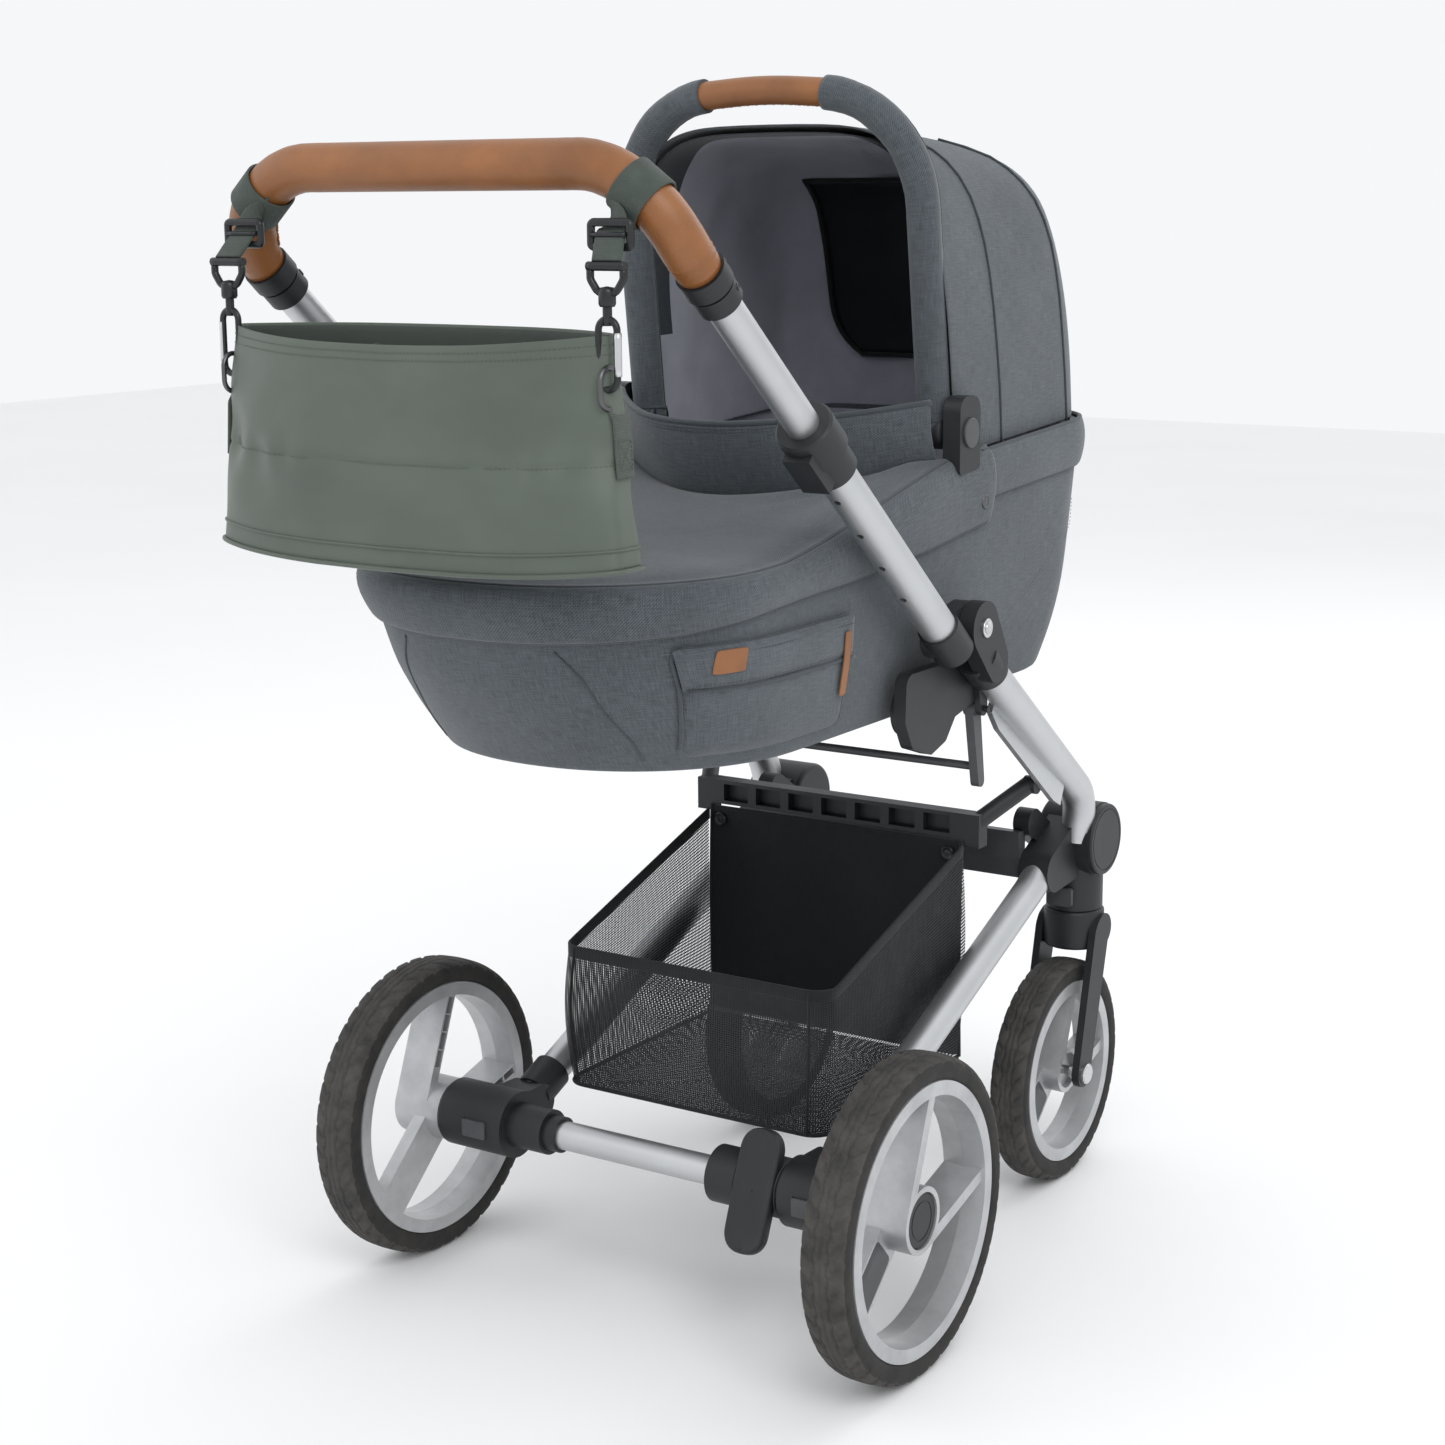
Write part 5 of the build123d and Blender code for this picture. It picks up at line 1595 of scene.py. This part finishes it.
def hooks(sign):
    tag = tag_of(sign)
    x = STRAP_X
    pieces = []
    carabiner = stadium(np.array([x, SWING[1], 922.0]), 52, 17, "y", 48)
    gate = np.array([(x + 9.1, SWING[1], z) for z in np.linspace(906, 938, 8)])
    pieces.append(("hook_body", carabiner, 2.7, BLACK_SMOOTH, True))
    pieces.append(("hook_gate", gate, 2.9, STEEL, False))
    pieces.append(("hook_ring", stadium(np.array([x, SWING[1], 897.0]), 31, 21, "x", 40), 2.1,
                   GUNMETAL, True))
    pieces.append(("hook_stem", np.array([[x, SWING[1], 943], [x, SWING[1], 950],
                                          [x, SWING[1], 957], [x, SWING[1], 961.0]]), 3.6,
                   BLACK_SMOOTH, False))
    for name, line, radius, material, closed in pieces:
        points = sided(line, sign)
        up = (0, 1, 0.01) if name != "hook_ring" else (1, 0, 0.01)
        obj = cord_line(f"{name}_{tag}", points, radius, [material], up=up, sides=12, closed=closed)
        on_body(obj, "bag")
        if name == "hook_body" and sign > 0:
            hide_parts("bag_hooks")
        if name == "hook_ring":
            squash_bag(obj)
    barrel = []
    for z, radius in ((957, 0.3), (957, 5.5), (959, 6.6), (968, 6.6), (971, 5.6), (972, 0.3)):
        barrel.append([(sign * (x + radius * math.cos(a)), SWING[1] + radius * math.sin(a), z)
                       for a in full_turn(24)])
    obj = tidy(grid(f"hook_barrel_{tag}", barrel, [BLACK_SMOOTH], close_v=True), 0.0002)
    on_body(obj, "bag")
    # D-ring tab, sewn to the bag's side
    rows = []
    for t in np.linspace(0, 1, 22):
        z = 884 - 54 * t
        share = (z - BAG_FLOOR) / (BAG_TOP - BAG_FLOOR)
        ring = bag_ring(min(1.0, max(0.0, share)))
        edge = ring[:, 0].max()
        lean = smoothstep((z - 872) / 10)
        px = edge + 1.6 + (x - edge - 1.6) * lean
        rows.append([(sign * (px + b), BAG_MID + a, z) for a, b in flat_profile(22, 2.6, 4)])
    obj = grid(f"tab_{tag}", rows, [TAB], close_v=True)
    cap_ends(obj, len(flat_profile(22, 2.6, 4)))
    squash_bag(on_body(obj, "bag"))
    y = BAG_MID
    box_line = [(0, y - 8, 836), (0, y + 8, 836), (0, y + 8, 858), (0, y - 8, 858),
                (0, y - 8, 836), (0, y + 8, 858), (0, y + 8, 836), (0, y - 8, 858)]
    line = np.vstack([spaced([a, b], 8) for a, b in zip(box_line, box_line[1:])])
    shares = (line[:, 2] - BAG_FLOOR) / (BAG_TOP - BAG_FLOOR)
    line[:, 0] = sign * np.array([bag_ring(share)[:, 0].max() + 3.1 for share in shares])
    row = stitch_row(f"tab_stitch_{tag}", line, (sign, 0, 0), [SAGE_THREAD], 3.2, 2.2, 0.6)
    squash_bag(on_body(row, "bag"))


for SIGN in (-1, 1):
    strap(SIGN)
    hooks(SIGN)


# ---- basket -------------------------------------------------------------------------
def basket():
    y0, y1 = BASKET_LOW[1] + 1.5, BASKET_HIGH[1] - 1.5
    half = BASKET_HIGH[0] - 2
    floor, top = BASKET_LOW[2] + 1, BASKET_HIGH[2]
    rear_top = 316.0

    def edge_z(y):
        return rear_top + (top - rear_top) * max(0.0, (y - y0 - 18) / (y1 - y0 - 18))

    path = [(half, y) for y in np.linspace(y1, y0 + 24, 30)]
    for a in np.linspace(0, math.pi / 2, 9)[1:]:
        path.append((half - 22 + 22 * math.cos(a), y0 + 22 - 22 * math.sin(a)))
    path += [(half - 22 - (half - 22) * t, y0) for t in np.linspace(0, 1, 14)[1:]]
    path = np.array(path)
    path = np.concatenate([path, mirrored(np.column_stack([path[::-1], path[::-1, 0]]))[1:, :2]])
    rows = []
    for x, y in path:
        column = []
        for t in np.linspace(0, 1, 17):
            z = floor + 8 + (edge_z(y) - floor - 8) * t
            sag = 4.0 * math.sin(t * math.pi) * (1 + 0.6 * math.sin(y / 26 + x / 19))
            shrink = 1 - 0.02 * (1 - t)
            out = 1 + sag / 160
            column.append((x * shrink * out, y - (4.0 * math.sin(t * math.pi) if y < y0 + 8 else 0), z))
        rows.append(column)
    points = np.array(rows)
    net = grid("basket_net", points, [NET])
    on_body(net, "chassis")
    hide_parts("basket_mesh")
    cut(net)
    base_edge = points[:, 0]
    centre = np.array([0, (y0 + y1) / 2, 0])
    front = np.column_stack([np.linspace(-half * 0.98, half * 0.98, 12)[1:-1], np.full(10, y1),
                             np.full(10, floor + 8)])
    border = np.concatenate([base_edge, front])
    floor_points = []
    for share in (1.0, 0.97, 0.85, 0.65, 0.4, 0.2, 0.0):
        ring = border.copy()
        ring[:, :2] = centre[:2] + (border[:, :2] - centre[:2]) * share
        ring[:, 2] = floor + 8 - 7.5 * smoothstep((1 - share) * 8) - 2.0 * (1 - share)
        floor_points.append(ring)
    base = grid("basket_floor", np.array(floor_points).transpose(1, 0, 2), [DENSE], close_u=True)
    tidy(base, 0.0005)
    on_body(base, "chassis")
    cut(base)
    hem = points[:, -1].copy()
    hem[:, 2] -= 5
    tangent = np.gradient(hem, axis=0)
    tangent /= np.linalg.norm(tangent, axis=1)[:, None]
    rows = []
    for p, t in zip(hem, tangent):
        out = np.cross(t, (0, 0, 1.0))
        out /= np.linalg.norm(out)
        rows.append([p + out * b + np.array([0, 0, a]) for a, b in flat_profile(13, 2.4, 4)])
    band = grid("basket_hem", np.array(rows), [BINDING], close_v=True)
    cap_ends(band, len(flat_profile(13, 2.4, 4)))
    on_body(band, "chassis")
    bottom = points[:, 0]
    on_body(cord_line("basket_base_seam", bottom, 2.0, [BINDING]), "chassis")
    for index, name in ((36, "r"), (len(points) - 37, "l")):
        line = points[index]
        on_body(cord_line(f"basket_corner_{name}", line, 1.6, [BINDING], up=(0.3, 1, 0)), "chassis")
    panel()


def panel():
    low, high = box_mm("basket_panel")
    rows = []
    for t in np.linspace(0, 1, 29):
        x = low[0] + (high[0] - low[0]) * t
        row = []
        for s in np.linspace(0, 1, 25):
            z = low[2] + (high[2] - low[2]) * s
            bow = math.sin(s * math.pi)
            wave = 2.2 * math.sin(t * 11 + s * 2.4) * bow + 1.4 * math.sin(t * 5 - s * 6)
            y = (low[1] + high[1]) / 2 - 1.5 + wave * math.sin(t * math.pi) - 3.0 * bow
            row.append((x, y, z))
        rows.append(row)
    points = np.array(rows)
    obj = soften(thick(grid("basket_front", points, [PANEL]), 2.0, 0.0))
    on_body(obj, "chassis")
    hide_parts("basket_panel")
    cut(obj)
    for index, name in ((0, "l"), (len(points) - 1, "r")):
        on_body(cord_line(f"panel_edge_{name}", points[index], 2.2, [BINDING], up=(0.2, 1, 0)),
                "chassis")
    for sign in (-1, 1):
        dome(f"panel_snap_{tag_of(sign)}", (sign * 136, low[1] - 3.5, high[2] - 14),
             (0, -1, 0), 7.0, 2.6, [BLACK_SMOOTH], "chassis")


basket()


# ---- moulded details ----------------------------------------------------------------
def brake_pedal():
    """A ring round the axle with a round-ended foot pad across it."""
    low, high = box_mm("brake_pedal")
    x = (low[0] + high[0]) / 2
    axle_z = mm(middle("rear_axle_tube"))[2]
    rings = []
    for share, radius in ((-1, 23.6), (-1, 27), (-0.96, 28), (0.96, 28), (1, 27), (1, 23.6)):
        rings.append([(x + share * (high[0] - low[0]) / 2, y, axle_z + z)
                      for y, z in circle(radius, 48)])
    ring = grid("brake_ring", rings, [BLACK], close_u=True, close_v=True)
    on_body(ring, "brake")
    lean = math.radians(22)
    along = np.array([0, math.sin(lean), math.cos(lean)])
    out = np.array([0, -math.cos(lean), math.sin(lean)])
    centre = np.array([x, -25.0, axle_z + 2])
    half_w, half_l = 21.5, 57.5
    run = half_l - half_w
    outline_pad = []
    for a in full_turn(56):
        c, t = math.cos(a), math.sin(a)
        u = half_w * math.copysign(abs(c) ** 0.8, c)
        v = half_w * math.copysign(abs(t) ** 0.9, t) + math.copysign(run, t if t else 1)
        outline_pad.append((u, v))

    def drawn_in(value, share):
        """Moves a coordinate in from the pad's edge; near the middle it is scaled instead."""
        return value - math.copysign((1 - share) * half_w, value) if share > 0.6 else value * share

    rows = []
    for share, lift in ((0.02, -6.5), (0.9, -6.5), (0.98, -5.0), (1.0, -2.5), (1.0, 2.5), (0.98, 5.2),
                        (0.93, 6.5), (0.86, 6.6), (0.83, 5.2), (0.5, 5.0), (0.02, 5.0)):
        rows.append([centre + np.array([drawn_in(u, share), 0, 0]) + along * drawn_in(v, share)
                     + out * lift for u, v in outline_pad])
    pad = soften(tidy(grid("brake_pad", rows, [BLACK], close_v=True), 0.0003))
    on_body(pad, "brake")
    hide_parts("brake_pedal")


brake_pedal()


def screws():
    """Pan-head screws at the folding joints."""
    pins = box_mm("hinge_pins")[1]
    centre = mm(middle("hinge_pins"))
    for sign in (-1, 1):
        tag = tag_of(sign)
        dome(f"hinge_screw_{tag}", (sign * (pins[0] - 0.4), centre[1], centre[2]), (sign, 0, 0), 5.6, 2.2,
             [STEEL], "chassis")


screws()


# ---- stage, light and camera --------------------------------------------------------
def stage():
    rows = []
    for x in np.linspace(-9000, 9000, 13):
        rows.append([(x, y, 0.0) for y in np.linspace(-9000, 9000, 13)])
    floor = grid("floor", rows, [floor_material()])
    world = bpy.data.worlds.new("studio")
    world.use_nodes = True
    background = world.node_tree.nodes["Background"]
    background.inputs[0].default_value = (0.97, 0.98, 1.0, 1)
    background.inputs[1].default_value = 0.95
    bpy.context.scene.world = world
    lamp("key", (2.6, -2.2, 3.4), (0, 0, 0.6), 2.2, 62)
    lamp("fill", (-3.0, -1.8, 2.0), (0, 0, 0.6), 3.0, 14)
    lamp("back", (0.5, 3.2, 3.0), (0, 0, 0.7), 3.0, 30)


def floor_material():
    n = Nodes("studio_floor")
    tone = n.noise(n.coords((1, 1, 1)), 1.2, 2.0)
    base = n.ramp(tone, 0.2, 0.8, (0.90, 0.90, 0.905), (0.93, 0.93, 0.93))
    n.feed(base, "Base Color")
    n.set(Roughness=0.75, Specular_IOR_Level=0.2)
    return n.mat


def lamp(name, place, target, size, power):
    data = bpy.data.lights.new(name, "AREA")
    data.size = size
    data.energy = power
    obj = bpy.data.objects.new(name, data)
    obj.location = place
    obj.rotation_euler = (Vector(target) - Vector(place)).to_track_quat("-Z", "Y").to_euler()
    bpy.context.scene.collection.objects.link(obj)


def camera():
    data = bpy.data.cameras.new("camera")
    data.sensor_width = 36.0
    data.lens = 63.297
    data.clip_start = 0.05
    obj = bpy.data.objects.new("camera", data)
    yaw, pitch, roll = 0.579772305, 0.205939689, -0.00747676
    ahead = Vector((-math.sin(yaw) * math.cos(pitch), math.cos(yaw) * math.cos(pitch), -math.sin(pitch)))
    right = Vector((math.cos(yaw), math.sin(yaw), 0))
    up = right.cross(ahead)
    right, up = (right * math.cos(roll) + up * math.sin(roll), up * math.cos(roll) - right * math.sin(roll))
    turn = Matrix((right, up, -ahead)).transposed()
    obj.matrix_world = Matrix.Translation(at(1299.19, -1857.79, 1039.53)) @ turn.to_4x4()
    bpy.context.scene.collection.objects.link(obj)
    bpy.context.scene.camera = obj
    bpy.context.scene.view_settings.view_transform = "Standard"


stage()
camera()
